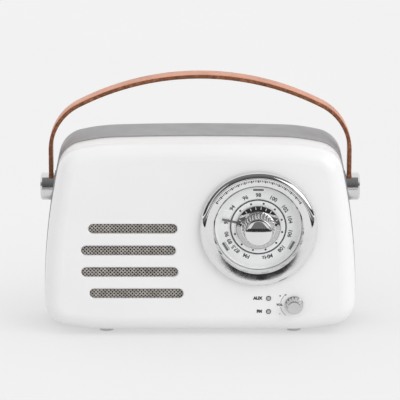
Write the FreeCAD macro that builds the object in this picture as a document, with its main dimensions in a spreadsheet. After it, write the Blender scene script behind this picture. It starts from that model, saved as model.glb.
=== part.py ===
"""A tabletop radio with a leather carrying strap, as an assembly of separate parts.

Millimetres. X runs to the right of someone facing the radio, Y runs from its front to its
back and Z is up. The origin is on the table, under the middle of the radio's outer box.
"""

import FreeCAD, Part
import math
import os
import re

import Sketcher
from FreeCAD import Placement, Rotation, Vector

DIMENSIONS = {
    # casing: its faces, its seam and the radii of its outline
    "body_width": 244.2, "base_height": 3.2, "top_height": 154.6,
    "front_y": -38.4, "seam_y": -7.4, "back_y": 43.6, "seam_gap": 0.3,
    "wall": 2.5, "rear_step": 0.9, "front_round": 13.0, "rear_round": 10.0,
    "shoulder_radius": 150.0, "head_radius": 22.0, "foot_radius": 20.3, "sole_radius": 174.0,
    "lip_gap": 0.2, "lip_wall": 1.4, "lip_reach": 3.0,
    # posts inside the casing and the screws that close it
    "post_radius": 4.0, "post_end": 9.1, "tube_radius": 5.4, "tube_bore": 3.6,
    "tube_floor": 3.5, "low_post_x": 104.0, "low_post_z": 22.0, "high_post_x": 91.0,
    "high_post_z": 130.0, "stud_radius": 3.0,
    "screw_core": 1.3, "screw_head": 2.3, "screw_gap": 0.1, "small_screw_length": 3.6,
    "case_screw_length": 16.0, "head_thick": 1.8, "cross_length": 3.4, "cross_width": 0.7,
    "cross_depth": 0.8,
    # loudspeaker
    "speaker_x": -53.0, "speaker_z": 61.5, "slot_height": 10.2, "slot_edge": 1.3,
    "mesh_half_width": 42.0, "mesh_half_height": 32.5, "mesh_thick": 0.6,
    "baffle_half_width": 46.5, "baffle_half_height": 38.4, "baffle_thick": 2.5,
    "baffle_y": -34.8, "driver_y": -31.1, "driver_radius": 37.5, "cone_radius": 30.0,
    "magnet_radius": 20.0, "magnet_y": -16.3, "magnet_depth": 9.4, "vent_radius": 3.0,
    "basket_depth": 14.7, "basket_wall": 1.1, "basket_neck": 22.0, "gasket_thick": 0.9,
    "driver_screws": 24.8,
    # dial
    "dial_x": 45.4, "dial_z": 87.7, "bezel_radius": 45.9, "bezel_crest": 41.0,
    "bezel_height": 5.9, "bezel_round": 4.6, "ring_inner": 35.3, "ring_inner_height": 5.5,
    "well_radius": 34.2, "sleeve_radius": 35.1, "dial_hole": 35.4,
    "plate_depth": 5.9, "plate_radius": 34.0, "plate_thick": 1.0, "surround_inner": 32.3,
    "surround_height": 1.2, "disc_radius": 22.3, "disc_gap": 0.3, "disc_thick": 0.5,
    "needle_start": 16.4, "needle_end": 28.8, "needle_width": 1.7, "needle_thick": 0.3,
    "lens_gap": 0.4, "lens_thick": 0.9,
    "shaft_radius": 3.0, "shaft_gap": 0.05, "bush_radius": 3.5, "nut_radius": 5.0,
    "nut_thick": 1.6, "cap_top": 5.0,
    "skirt_radius": 17.3, "skirt_thick": 1.6, "skirt_y": -35.2,
    "cap_base": 13.4, "cap_front": 10.4, "knob_front_y": -51.6, "bracket_y": -30.4,
    "bracket_thick": 1.2, "bracket_half_length": 43.4, "bracket_half_height": 11.0,
    "tuner_radius": 9.0, "tuner_depth": 9.0,
    # volume knob and indicator lamps
    "volume_x": 73.6, "volume_z": 26.0, "volume_base": 7.2, "volume_front": 4.9,
    "volume_reach": 9.0, "pot_radius": 8.0, "control_board_y": -25.2, "board_thick": 1.6,
    "control_left": 30.0, "control_low": 14.0, "control_length": 68.0, "control_height": 30.0,
    "bulb_radius": 1.5, "bulb_length": 4.0, "leg_radius": 0.25, "leg_offset": 0.8,
    "lamp_x": 53.6, "lamp_high_z": 31.3, "lamp_low_z": 20.6, "lamp_radius": 1.9,
    # circuit board and rear panel
    "board_left": 8.0, "board_right": 95.5, "board_low": 13.0, "board_high": 84.0,
    "board_y": 30.6, "panel_z": 32.0, "charge_x": 26.0, "aux_x": 44.0, "power_x": 64.0,
    "mode_x": 84.0, "slider_travel": 4.0, "button_travel": 0.8,
    "charge_half_width": 4.6, "charge_half_height": 1.7, "charge_wall": 0.4,
    "opening_half": 5.6, "charge_opening": 4.9, "slider_opening": 4.6, "round_opening": 3.4,
    "aux_half": 5.0, "aux_nose": 3.1, "aux_bore": 1.8,
    # battery
    "cell_radius": 9.2, "cell_length": 65.0, "cell_left": -88.5, "cell_y": 30.1,
    "cell_low_z": 23.0, "cell_high_z": 42.8, "holder_front": 23.1, "holder_wall": 1.5,
    "contact_size": 12.0, "contact_thick": 0.5,
    # carrying handle
    "pivot_y": 5.5, "pivot_z": 111.0, "lug_radius": 10.85, "seat_x": 114.3,
    "lug_inner": 114.6, "lug_outer": 125.7, "seat_radius": 11.5, "hub_radius": 12.6,
    "hub_inner": 105.0, "pin_radius": 4.0, "pin_gap": 0.06, "strap_inner": 115.9,
    "strap_thick": 3.2, "strap_width": 18.0, "strap_top": 199.4, "strap_arch": 206.0,
    "strap_bend": 39.0, "strap_end": 104.5, "tongue_width": 13.0, "tongue_top": 121.0,
    "tongue_flare": 6.0, "strap_round": 0.9, "lug_chamfer": 1.3, "bolt_core": 1.5,
    "bolt_length": 7.0, "bolt_head": 3.2, "washer_radius": 6.0, "washer_thick": 0.8,
    # aerial, folded flat against the back
    "aerial_x": 70.0, "aerial_y": 48.5, "aerial_z": 136.0, "aerial_length": 133.0,
    "mast_radius": 2.9, "mast_step": 0.5, "mast_gap": 0.08, "yoke_radius": 3.1,
    "yoke_height": 8.0, "tongue_thick": 3.0, "tongue_radius": 2.3, "pivot_pin": 1.0,
    "bush_flange": 6.4, "bush_neck": 3.9, "bush_pivot": 2.0,
    # feet
    "foot_x": 74.0, "foot_front_y": -16.9, "foot_back_y": 26.1, "foot_disc": 6.0,
    "foot_height": 3.7,
}

X, Y, Z = Vector(1, 0, 0), Vector(0, 1, 0), Vector(0, 0, 1)
TURNS = {
    "z": Rotation(),
    "y": Rotation(X, -90),
    "-y": Rotation(X, 90),
    "x": Rotation(Y, 90),
    "-x": Rotation(Y, -90),
}
SIDES = (-1, 1)
SMALL = 1e-4

doc = FreeCAD.newDocument("radio")
sheet = doc.addObject("Spreadsheet::Sheet", "dims")
for row, (alias, size) in enumerate(DIMENSIONS.items(), start=1):
    sheet.set(f"A{row}", alias)
    sheet.set(f"B{row}", str(size))
    sheet.setAlias(f"B{row}", alias)
doc.recompute()

NODES = []
SMALL_SCREWS = []


# ---------------------------------------------------------------- expressions and solids


def formula(text):
    """A spreadsheet expression from a text made of cell names, numbers and + - * /."""

    def name(match):
        word = match.group()
        return f"dims.{word}" if word in DIMENSIONS else word

    return re.sub(r"[a-z][a-z_]*", name, str(text))


def value(text):
    """What that expression comes to."""
    return float(sheet.evalExpression(formula(text)))


def bind(item, **properties):
    for prop, text in properties.items():
        item.setExpression(prop, formula(text))
    return item


def place(item, at, turn="z"):
    """Puts an object's own origin at a point, its own Z turned to point along an axis."""
    item.Placement = Placement(Vector(*[value(text) for text in at]), TURNS[turn])
    for axis, text in zip("xyz", at):
        item.setExpression(f"Placement.Base.{axis}", formula(text))
    return item


def box(name, size, at):
    """A box from its low corner."""
    item = doc.addObject("Part::Box", name)
    bind(item, Length=size[0], Width=size[1], Height=size[2])
    return place(item, at)


def block(name, centre, half, low_y, high_y):
    """A box centred across and up, between two depths."""
    size = (f"2*({half[0]})", f"{high_y} - ({low_y})", f"2*({half[1]})")
    return box(name, size, (f"{centre[0]} - ({half[0]})", low_y, f"{centre[1]} - ({half[1]})"))


def rod(name, radius, length, at, along="y"):
    """A cylinder that starts at a point and runs along an axis."""
    item = doc.addObject("Part::Cylinder", name)
    bind(item, Radius=radius, Height=length)
    return place(item, at, along)


def taper(name, first, last, length, at, along="y"):
    """A cone with its point cut off."""
    item = doc.addObject("Part::Cone", name)
    bind(item, Radius1=first, Radius2=last, Height=length)
    return place(item, at, along)


def hexagon(name, radius, length, at, along="y"):
    item = doc.addObject("Part::Prism", name)
    item.Polygon = 6
    bind(item, Circumradius=radius, Height=length)
    return place(item, at, along)


def fuse(name, items):
    """Several solids made one."""
    if len(items) == 1:
        return items[0]
    item = doc.addObject("Part::MultiFuse", name)
    item.Shapes = items
    item.Refine = True
    return item


def cut(name, base, tools):
    item = doc.addObject("Part::Cut", name)
    item.Base = base
    item.Tool = fuse(f"{name}_tools", tools)
    return item


def group(name, items):
    """Separate solids of one kind that share a node."""
    item = doc.addObject("Part::Compound", name)
    item.Links = items
    return item


def node(item, label):
    """Marks a finished sub-part; its label names its file."""
    item.Label = label
    NODES.append(item)
    return item


# ---------------------------------------------------------------- sketches and bodies


def new_body(name):
    return doc.addObject("PartDesign::Body", f"{name}_body")


def add_sketch(body, name, plane, offset="0"):
    """An empty sketch on one of a body's own planes, moved along that plane's normal."""
    sketch = body.newObject("Sketcher::SketchObject", name)
    origin_plane = [item for item in body.Origin.OriginFeatures if item.Role == plane][0]
    sketch.AttachmentSupport = [(origin_plane, "")]
    sketch.MapMode = "FlatFace"
    sketch.setExpression("AttachmentOffset.Base.z", formula(offset))
    return sketch


def pin_point(sketch, geometry, end, across, up):
    """Holds a point of a sketch at two expressions measured from its origin."""
    for kind, text, axis in (("DistanceX", across, -2), ("DistanceY", up, -1)):
        if abs(value(text)) < SMALL:
            sketch.addConstraint(Sketcher.Constraint("PointOnObject", geometry, end, axis))
        else:
            index = sketch.addConstraint(
                Sketcher.Constraint(kind, -1, 1, geometry, end, value(text))
            )
            sketch.setExpression(f"Constraints[{index}]", formula(text))


def polygon(sketch, points):
    """A closed outline of straight sides between points given as expressions."""
    places = [Vector(value(across), value(up), 0) for across, up in points]
    count = len(points)
    first = sketch.GeometryCount
    for index in range(count):
        side = Part.LineSegment(places[index], places[(index + 1) % count])
        sketch.addGeometry(side, False)
    for index, (across, up) in enumerate(points):
        previous = first + (index - 1) % count
        sketch.addConstraint(Sketcher.Constraint("Coincident", previous, 2, first + index, 1))
        pin_point(sketch, first + index, 1, across, up)


def circle(sketch, radius, across="0", up="0"):
    centre = Vector(value(across), value(up), 0)
    index = sketch.addGeometry(Part.Circle(centre, Z, value(radius)), False)
    constraint = sketch.addConstraint(Sketcher.Constraint("Radius", index, value(radius)))
    sketch.setExpression(f"Constraints[{constraint}]", formula(radius))
    pin_point(sketch, index, 3, across, up)


def stadium(sketch, left, right, level, height):
    """A level slot with round ends, from its left end to its right end."""
    half = f"({height}) / 2"
    radius = value(half)
    ends = (value(right) - radius, value(left) + radius)
    first = sketch.GeometryCount
    for side, x in zip(SIDES, ends):
        centre = Vector(x, value(level), 0)
        start = math.pi / 2 * side
        arc = Part.ArcOfCircle(Part.Circle(centre, Z, radius), start, start + math.pi)
        sketch.addGeometry(arc, False)
    for rise in SIDES:
        x_from, x_to = (ends[1], ends[0]) if rise < 0 else ends
        up = value(level) + rise * radius
        sketch.addGeometry(Part.LineSegment(Vector(x_from, up, 0), Vector(x_to, up, 0)), False)
    for line, start_arc, end_arc in ((first + 2, first + 1, first), (first + 3, first, first + 1)):
        sketch.addConstraint(Sketcher.Constraint("Tangent", start_arc, 2, line, 1))
        sketch.addConstraint(Sketcher.Constraint("Tangent", line, 2, end_arc, 1))
    index = sketch.addConstraint(Sketcher.Constraint("Radius", first, radius))
    sketch.setExpression(f"Constraints[{index}]", formula(half))
    pin_point(sketch, first, 3, f"{right} - {half}", level)
    pin_point(sketch, first + 1, 3, f"{left} + {half}", level)


def pad(body, sketch, name, length, reverse=False):
    feature = body.newObject("PartDesign::Pad", name)
    feature.Profile = sketch
    feature.Reversed = reverse
    bind(feature, Length=length)
    doc.recompute()
    return feature


def pocket(body, sketch, name, length, reverse=False):
    before = body.Shape.Volume
    feature = body.newObject("PartDesign::Pocket", name)
    feature.Profile = sketch
    feature.Reversed = reverse
    bind(feature, Length=length)
    doc.recompute()
    if body.Shape.Volume > before - SMALL:
        raise RuntimeError(f"{name} cuts nothing")
    return feature


def treat_edges(body, kind, name, size, test):
    """A fillet or chamfer on the edges whose bounding box passes a test."""
    base = body.Tip
    edges = [
        f"Edge{i}" for i, edge in enumerate(base.Shape.Edges, start=1) if test(edge.BoundBox)
    ]
    feature = body.newObject(f"PartDesign::{kind}", name)
    feature.Base = (base, edges)
    bind(feature, **{"Radius" if kind == "Fillet" else "Size": size})
    doc.recompute()
    return feature


def level_y(text):
    """A test for edges that lie flat at one depth."""
    depth = value(text)
    return lambda b: abs(b.YMin - depth) < SMALL and abs(b.YMax - depth) < SMALL


def turned(name, points, at, along="-y"):
    """A solid turned from an outline of radius and height, its axis then pointed along."""
    body = new_body(name)
    sketch = add_sketch(body, f"{name}_profile", "XZ_Plane")
    polygon(sketch, points)
    feature = body.newObject("PartDesign::Revolution", f"{name}_turned")
    feature.Profile = sketch
    feature.ReferenceAxis = (sketch, ["V_Axis"])
    feature.Angle = 360
    doc.recompute()
    return place(body, at, along)


# ---------------------------------------------------------------- casing

# Directions the outline faces, in degrees from straight up, where its arcs meet.
CROWN, SHOULDER, HEAD, SIDE, FOOT, SOLE = 1.7, 13.0, 78.0, 90.0, 168.0, 180.0


def outline_arcs(offset):
    """Centre, radius and facings of the right half's six arcs, from the top downwards.

    The crown and the side get whatever radii close the outline at its width and height."""

    def sine(degrees):
        return math.sin(math.radians(degrees))

    def cosine(degrees):
        return math.cos(math.radians(degrees))

    shoulder, head = value("shoulder_radius"), value("head_radius")
    foot, sole = value("foot_radius"), value("sole_radius")
    across = (
        value("body_width / 2")
        - shoulder * (sine(SHOULDER) - sine(CROWN))
        - head * (sine(HEAD) - sine(SHOULDER))
    )
    down = (
        value("top_height - base_height")
        - shoulder * (cosine(CROWN) - cosine(SHOULDER))
        - head * (cosine(SHOULDER) - cosine(HEAD))
        + foot * cosine(FOOT)
        - sole * (cosine(FOOT) + 1)
    )
    crown_down, side_down = 1 - cosine(CROWN), cosine(HEAD)
    crown_across, side_across = sine(CROWN), 1 - sine(HEAD)
    share = crown_down * side_across - crown_across * side_down
    crown = (down * side_across - across * side_down) / share
    side = (crown_down * across - crown_across * down) / share
    facings = (0, CROWN, SHOULDER, HEAD, SIDE, FOOT, SOLE)
    radii = (crown, shoulder, head, side, foot, sole)
    arcs = []
    point = Vector(0, value("top_height"), 0)
    for radius, start, end in zip(radii, facings, facings[1:]):
        centre = point - Vector(sine(start), cosine(start), 0) * radius
        point = centre + Vector(sine(end), cosine(end), 0) * radius
        arcs.append((centre, radius + offset, start, end))
    return arcs


def casing_outline(sketch, offset):
    """The casing's closed outline, moved outwards, as arcs that run smoothly together."""
    grow = value(offset)
    arcs = outline_arcs(grow)
    crown, right = arcs[0], arcs[1:]
    curves = []
    for centre, radius, start, end in reversed(right):
        curves.append((centre, radius, 90 - end, 90 - start))
    curves.append((crown[0], crown[1], 90 - CROWN, 90 + CROWN))
    for centre, radius, start, end in right:
        curves.append((Vector(-centre.x, centre.y, 0), radius, 90 + start, 90 + end))
    first = sketch.GeometryCount
    for centre, radius, start, end in curves:
        whole = Part.Circle(centre, Z, radius)
        arc = Part.ArcOfCircle(whole, math.radians(start), math.radians(end))
        sketch.addGeometry(arc, False)
    reach = right[-1][0].x
    low = value("base_height") - grow
    base = sketch.addGeometry(
        Part.LineSegment(Vector(-reach, low, 0), Vector(reach, low, 0)), False
    )
    for index in range(first, base):
        following = index + 1
        sketch.addConstraint(Sketcher.Constraint("Tangent", index, 2, following, 1))
    sketch.addConstraint(Sketcher.Constraint("Tangent", base, 2, first, 1))
    cells = ("sole_radius", "foot_radius", None, "head_radius", "shoulder_radius")
    for step, cell in enumerate(cells):
        sketch.addConstraint(
            Sketcher.Constraint("Equal", first + step, first + 10 - step)
        )
        if cell:
            radius = curves[step][1]
            index = sketch.addConstraint(Sketcher.Constraint("Radius", first + step, radius))
            sketch.setExpression(f"Constraints[{index}]", f"dims.{cell} + {formula(offset)}")
    index = sketch.addConstraint(Sketcher.Constraint("DistanceY", -1, 1, base, 1, low))
    sketch.setExpression(f"Constraints[{index}]", formula(f"base_height - ({offset})"))


def hollow_block(name, seam, face, grow, edge_round, forward):
    """Half of the casing: a round-edged block, hollowed from the seam to an even wall."""
    body = new_body(name)
    length = f"{seam} - ({face})" if forward else f"{face} - ({seam})"
    sketch = add_sketch(body, f"{name}_outline", "XZ_Plane", f"0 - ({seam})")
    casing_outline(sketch, grow)
    pad(body, sketch, f"{name}_block", length, reverse=not forward)
    rounded = treat_edges(body, "Fillet", f"{name}_round", edge_round, level_y(face))
    at_seam = level_y(seam)
    open_faces = [
        f"Face{i}" for i, side in enumerate(rounded.Shape.Faces, start=1)
        if at_seam(side.BoundBox)
    ]
    walls = body.newObject("PartDesign::Thickness", f"{name}_walls")
    walls.Base = (rounded, open_faces)
    walls.Reversed = True
    walls.Mode = "Skin"
    walls.Join = "Arc"
    bind(walls, Value="wall")
    doc.recompute()
    return body


def circles(body, name, plane_y, radius, centres):
    """A sketch of equal circles on an upright plane at one depth."""
    sketch = add_sketch(body, name, "XZ_Plane", f"0 - ({plane_y})")
    for across, up in centres:
        circle(sketch, radius, across, up)
    return sketch


CASE_POSTS = [
    (sign + x, z)
    for x, z in (("low_post_x", "low_post_z"), ("high_post_x", "high_post_z"))
    for sign in ("", "-")
]
BAFFLE_POSTS = [
    (f"speaker_x {a} baffle_half_width {b} 2.4", f"speaker_z {c} baffle_half_height {d} 2.6")
    for a, b in (("+", "-"), ("-", "+"))
    for c, d in (("+", "-"), ("-", "+"))
]
BRACKET_POSTS = [("dial_x - 39.6", "dial_z"), ("dial_x + 39.6", "dial_z")]
CONTROL_POSTS = [("36", "19"), ("94", "38")]
BOARD_POSTS = [
    (x, z)
    for x in ("board_left + 4", "board_right - 4")
    for z in ("board_low + 4", "board_high - 4")
]
# Left end, right end and height of each slot.
SLOTS = [(-87.2, -17.9, 87.2), (-92.9, -19.1, 69.7), (-92.8, -17.3, 52.3), (-86.5, -13.2, 35.0)]


def front_shell():
    body = hollow_block("front_shell", "seam_y", "front_y", "0", "front_round", True)
    slots = add_sketch(body, "slots", "XZ_Plane", "0 - front_y")
    for left, right, level in SLOTS:
        stadium(slots, left, right, level, "slot_height - 2*slot_edge")
    pocket(body, slots, "slots_cut", "wall + 1")
    slot_left, slot_right = SLOTS[1][0], SLOTS[3][1]
    slot_low, slot_high = SLOTS[3][2] - value("slot_height"), SLOTS[0][2] + value("slot_height")

    def slot_mouth(b):
        across = slot_left <= b.XMin and b.XMax <= slot_right
        up = slot_low <= b.ZMin and b.ZMax <= slot_high
        return level_y("front_y")(b) and across and up

    treat_edges(body, "Fillet", "slot_lips", "slot_edge", slot_mouth)
    holes = add_sketch(body, "front_holes", "XZ_Plane", "0 - front_y")
    circle(holes, "dial_hole", "dial_x", "dial_z")
    circle(holes, "bush_radius + screw_gap", "volume_x", "volume_z")
    circle(holes, "lamp_radius + screw_gap", "lamp_x", "lamp_high_z")
    circle(holes, "lamp_radius + screw_gap", "lamp_x", "lamp_low_z")
    pocket(body, holes, "front_holes_cut", "wall + 1")
    kinds = (
        ("case_posts", CASE_POSTS, "post_end", "post_radius", "16"),
        ("baffle_posts", BAFFLE_POSTS, "baffle_y - 0.1", "2.2", "2.4"),
        ("bracket_posts", BRACKET_POSTS, "bracket_y - 0.1", "stud_radius", "3"),
        ("control_posts", CONTROL_POSTS, "control_board_y - 0.1", "stud_radius", "6"),
    )
    for name, centres, end, radius, depth in kinds:
        sketch = circles(body, name, end, radius, centres)
        pad(body, sketch, f"{name}_pad", f"{end} - front_y - wall / 2")
        pilots = circles(body, f"{name}_pilots", end, "screw_core + screw_gap", centres)
        pocket(body, pilots, f"{name}_drilled", depth, reverse=True)
    feet = add_sketch(body, "front_foot_seats", "XY_Plane")
    for sign in ("", "-"):
        circle(feet, "foot_disc + 0.2", f"{sign}foot_x", "foot_front_y")
    pocket(body, feet, "front_foot_seats_cut", "foot_height + 0.2", reverse=True)
    return node(body, "front_shell")


def rear_shell():
    start = "seam_y + seam_gap"
    body = hollow_block("rear_shell", start, "back_y", "rear_step", "rear_round", False)
    lip = add_sketch(body, "lip", "XZ_Plane", f"0 - ({start})")
    casing_outline(lip, "0 - wall - lip_gap")
    casing_outline(lip, "0 - wall - lip_gap - lip_wall")
    pad(body, lip, "lip_pad", "lip_reach")
    flange = add_sketch(body, "flange", "XZ_Plane", f"0 - ({start})")
    casing_outline(flange, "0 - 0.6")
    casing_outline(flange, "0 - wall - lip_gap - lip_wall")
    pad(body, flange, "flange_pad", "lip_wall", reverse=True)
    tube_start = "post_end + 0.3"
    tubes = circles(body, "screw_tubes", tube_start, "tube_radius", CASE_POSTS)
    pad(body, tubes, "screw_tubes_pad", f"back_y - wall / 2 - ({tube_start})", reverse=True)
    bores = circles(body, "screw_bores", "back_y", "tube_bore", CASE_POSTS)
    pocket(body, bores, "screw_bores_cut", f"back_y - ({tube_start}) - tube_floor", reverse=True)
    clearances = circles(
        body, "screw_clearances", tube_start, "screw_core + 2*screw_gap", CASE_POSTS
    )
    pocket(body, clearances, "screw_clearances_cut", "tube_floor + 1")
    studs_end = "board_y + board_thick + 0.1"
    studs = circles(body, "board_studs", studs_end, "stud_radius", BOARD_POSTS)
    pad(body, studs, "board_studs_pad", f"back_y - wall / 2 - ({studs_end})", reverse=True)
    pilots = circles(body, "board_pilots", studs_end, "screw_core + screw_gap", BOARD_POSTS)
    pocket(body, pilots, "board_pilots_cut", "7")
    for side in SIDES:
        hub(body, side)
    panel = add_sketch(body, "panel_openings", "XZ_Plane", "0 - back_y")
    for x, height in (("charge_x", "charge_opening"), ("power_x", "slider_opening")):
        stadium(panel, f"{x} - opening_half", f"{x} + opening_half", "panel_z", height)
    circle(panel, "round_opening", "aux_x", "panel_z")
    circle(panel, "round_opening", "mode_x", "panel_z")
    circle(panel, "bush_neck + screw_gap", "aerial_x", "aerial_z")
    pocket(body, panel, "panel_openings_cut", "wall + 1", reverse=True)
    pilots = circles(body, "holder_pilots", "back_y - wall", "screw_core + screw_gap", HOLDER_TABS)
    pocket(body, pilots, "holder_pilots_cut", "wall - 0.4")
    feet = add_sketch(body, "rear_foot_seats", "XY_Plane")
    for sign in ("", "-"):
        circle(feet, "foot_disc + 0.2", f"{sign}foot_x", "foot_back_y")
    pocket(body, feet, "rear_foot_seats_cut", "foot_height + 0.2", reverse=True)
    return node(body, "rear_shell")


def hub(body, side):
    """The solid boss behind a lug, its flat seat and the bore for the lug's pin."""
    name = "right_hub" if side > 0 else "left_hub"
    inward = side > 0

    def disc(label, radius, depth):
        sketch = add_sketch(body, f"{name}_{label}", "YZ_Plane", f"{side}*({depth})")
        circle(sketch, radius, "pivot_y", "pivot_z")
        return sketch

    boss = disc("boss", "hub_radius", "hub_inner")
    pad(body, boss, f"{name}_pad", "seat_x - hub_inner", reverse=not inward)
    seat = disc("seat", "seat_radius", "seat_x + 8")
    pocket(body, seat, f"{name}_seat_cut", "8", reverse=not inward)
    bore = disc("bore", "pin_radius + pin_gap", "seat_x + 1")
    pocket(body, bore, f"{name}_bore_cut", "seat_x - hub_inner + 2", reverse=not inward)


HOLDER_TABS = [("cell_left + 16", "cell_high_z + 15"), ("cell_left + 49", "cell_high_z + 15")]


def case_screws():
    head_y = "post_end + 0.3 + tube_floor + 0.1"
    screws = []
    for index, (x, z) in enumerate(CASE_POSTS):
        screws.append(screw(f"case_screw_{index}", x, head_y, z, "case_screw_length", "y"))
    return node(group("case_screws_group", screws), "case_screws")


def screw(name, x, seat_y, z, length, faces):
    """A screw whose head stands on a seat and faces one way along Y; the other way it bites."""
    sign, back = ("+", "-y") if faces == "y" else ("-", "y")
    head = rod(f"{name}_head", "screw_head", "head_thick", (x, seat_y, z), faces)
    shank = rod(f"{name}_shank", "screw_core", length, (x, seat_y, z), back)
    whole = fuse(f"{name}_whole", [head, shank])
    slot_y = f"{seat_y} {sign} head_thick" + (" - cross_depth" if faces == "y" else "")
    along, across = "cross_length", "cross_width"
    cross = [
        box(f"{name}_cross_{width}", (width, "cross_depth", height),
            (f"{x} - {width} / 2", slot_y, f"{z} - {height} / 2"))
        for width, height in ((along, across), (across, along))
    ]
    return cut(name, whole, cross)


def small_screws(place_name, centres, seat_y, faces):
    """Adds screws of the common small kind; they all share one node."""
    for index, (x, z) in enumerate(centres):
        SMALL_SCREWS.append(
            screw(f"{place_name}_screw_{index}", x, seat_y, z, "small_screw_length", faces)
        )


def feet():
    discs = []
    for y in ("foot_front_y", "foot_back_y"):
        for sign in ("", "-"):
            name = f"foot_{len(discs)}"
            discs.append(
                taper(name, "foot_disc - 0.6", "foot_disc", "foot_height",
                      (f"{sign}foot_x", y, "0"), "z")
            )
    return node(group("feet_group", discs), "feet")


# ---------------------------------------------------------------- loudspeaker


def speaker():
    centre = ("speaker_x", "speaker_z")
    axis = ("speaker_x", "driver_y", "speaker_z")
    mesh_y = "front_y + wall + 0.2"
    mesh = block("mesh_sheet", centre, ("mesh_half_width", "mesh_half_height"),
                 mesh_y, f"{mesh_y} + mesh_thick")
    node(mesh, "speaker_mesh")
    plate = block("baffle_plate", centre, ("baffle_half_width", "baffle_half_height"),
                  "baffle_y", "baffle_y + baffle_thick")
    openings = [rod("baffle_opening", "cone_radius + 0.6", "baffle_thick + 2",
                    ("speaker_x", "baffle_y - 1", "speaker_z"))]
    for index, (x, z) in enumerate(BAFFLE_POSTS):
        at = (x, "baffle_y - 1", z)
        openings.append(rod(f"baffle_hole_{index}", "screw_core + 0.2", "baffle_thick + 2", at))
    for index, (x, z) in enumerate(SPEAKER_SCREWS):
        at = (x, "baffle_y + 0.8", z)
        openings.append(
            rod(f"baffle_pilot_{index}", "screw_core + screw_gap", "baffle_thick", at)
        )
    node(cut("baffle", plate, openings), "speaker_baffle")
    ring = rod("gasket_ring", "driver_radius - 4.6", "gasket_thick",
               ("speaker_x", "driver_y - 1.1", "speaker_z"))
    hole = rod("gasket_hole", "cone_radius + 0.8", "3",
               ("speaker_x", "driver_y - 2", "speaker_z"))
    node(cut("gasket", ring, [hole]), "speaker_gasket")
    basket = turned("speaker_basket", [
        ("cone_radius + 1.6", "0"), ("driver_radius", "0"), ("driver_radius", "1.0"),
        ("cone_radius + 2.4", "1.0"), ("basket_neck", "basket_depth"), ("8.0", "basket_depth"),
        ("8.0", "basket_depth - basket_wall"), ("basket_neck - 0.8", "basket_depth - basket_wall"),
        ("cone_radius + 1.6", "1.6"),
    ], axis, "y")
    drilled = cut("speaker_basket_drilled", basket, [
        rod(f"basket_hole_{index}", "screw_core + 0.2", "4", (x, "driver_y - 1", z))
        for index, (x, z) in enumerate(SPEAKER_SCREWS)
    ])
    node(drilled, "speaker_basket")
    node(turned("speaker_cone", [
        ("cone_radius", "0"), ("cone_radius - 2", "1.6"), ("cone_radius - 4.4", "0.4"),
        ("9.6", "9.0"), ("7.2", "12.6"), ("6.6", "12.6"), ("9.0", "8.6"),
        ("cone_radius - 4.5", "0 - 0.3"), ("cone_radius - 2", "0.9"),
        ("cone_radius - 0.5", "0 - 0.3"),
    ], axis, "y"), "speaker_cone")
    node(turned("speaker_dust_cap", [
        ("0", "5.6"), ("4.4", "6.1"), ("7.8", "7.5"), ("8.3", "8.2"), ("7.2", "8.0"),
        ("4.2", "6.7"), ("0", "6.2"),
    ], axis, "y"), "speaker_dust_cap")
    node(turned("speaker_magnet", [
        ("0", "0"), ("magnet_radius - 1", "0"), ("magnet_radius", "1"),
        ("magnet_radius", "magnet_depth - 1"), ("magnet_radius - 1", "magnet_depth"),
        ("vent_radius", "magnet_depth"), ("vent_radius", "magnet_depth - 4"),
        ("0", "magnet_depth - 4"),
    ], ("speaker_x", "magnet_y", "speaker_z"), "y"), "speaker_magnet")
    small_screws("driver", SPEAKER_SCREWS, "driver_y + 1.1", "y")
    small_screws("baffle", BAFFLE_POSTS, "baffle_y + baffle_thick + 0.1", "y")


SPEAKER_SCREWS = [
    (f"speaker_x {a} driver_screws", f"speaker_z {b} driver_screws") for a in "+-" for b in "+-"
]


# ---------------------------------------------------------------- dial


def dial():
    node(bezel(), "dial_bezel")
    plate_y = "front_y + plate_depth"
    plate = rod("plate_disc", "plate_radius", "plate_thick", ("dial_x", plate_y, "dial_z"))
    hole = rod("plate_hole", "nut_radius + 1", "plate_thick + 2",
               ("dial_x", plate_y + " - 1", "dial_z"))
    node(cut("plate", plate, [hole]), "dial_plate")
    node(turned("dial_surround", [
        ("surround_inner", "0.1"), ("plate_radius", "0.1"), ("plate_radius", "surround_height"),
        ("plate_radius - 0.4", "surround_height"), ("surround_inner", "surround_height / 2"),
    ], ("dial_x", plate_y, "dial_z")), "dial_surround")
    node(turned("pointer_disc", [
        ("shaft_radius + shaft_gap", "0"), ("disc_radius", "0"), ("disc_radius", "disc_thick"),
        ("shaft_radius + shaft_gap", "disc_thick"),
    ], ("dial_x", plate_y + " - disc_gap", "dial_z")), "pointer_disc")
    needle()
    node(turned("dial_lens", [
        ("shaft_radius + 1", "0"), ("plate_radius", "0"), ("plate_radius", "lens_thick"),
        ("shaft_radius + 1", "lens_thick"),
    ], ("dial_x", "skirt_y + lens_gap + lens_thick", "dial_z")), "dial_lens")


def bezel():
    """The chrome ring: a rounded bead, a scale ring that slopes inwards, and a sleeve behind."""
    foot_y = "front_y - 0.1"
    sleeve_end = f"{foot_y} - (bracket_y - 0.4)"
    body = turned("bezel", [
        ("well_radius", sleeve_end), ("sleeve_radius", sleeve_end), ("sleeve_radius", "0"),
        ("bezel_radius", "0"), ("bezel_radius", "bezel_height"), ("bezel_crest", "bezel_height"),
        ("ring_inner", "ring_inner_height"), ("well_radius", "ring_inner_height - 1.4"),
    ], ("dial_x", foot_y, "dial_z"))

    reach, level = value("bezel_radius"), value("bezel_height")
    treat_edges(
        body, "Fillet", "bezel_bead", "bezel_round",
        lambda b: abs(b.XMax - reach) < SMALL and abs(b.ZMin - level) < SMALL,
    )
    return body


NEEDLE_ANGLE = 168.0


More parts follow.
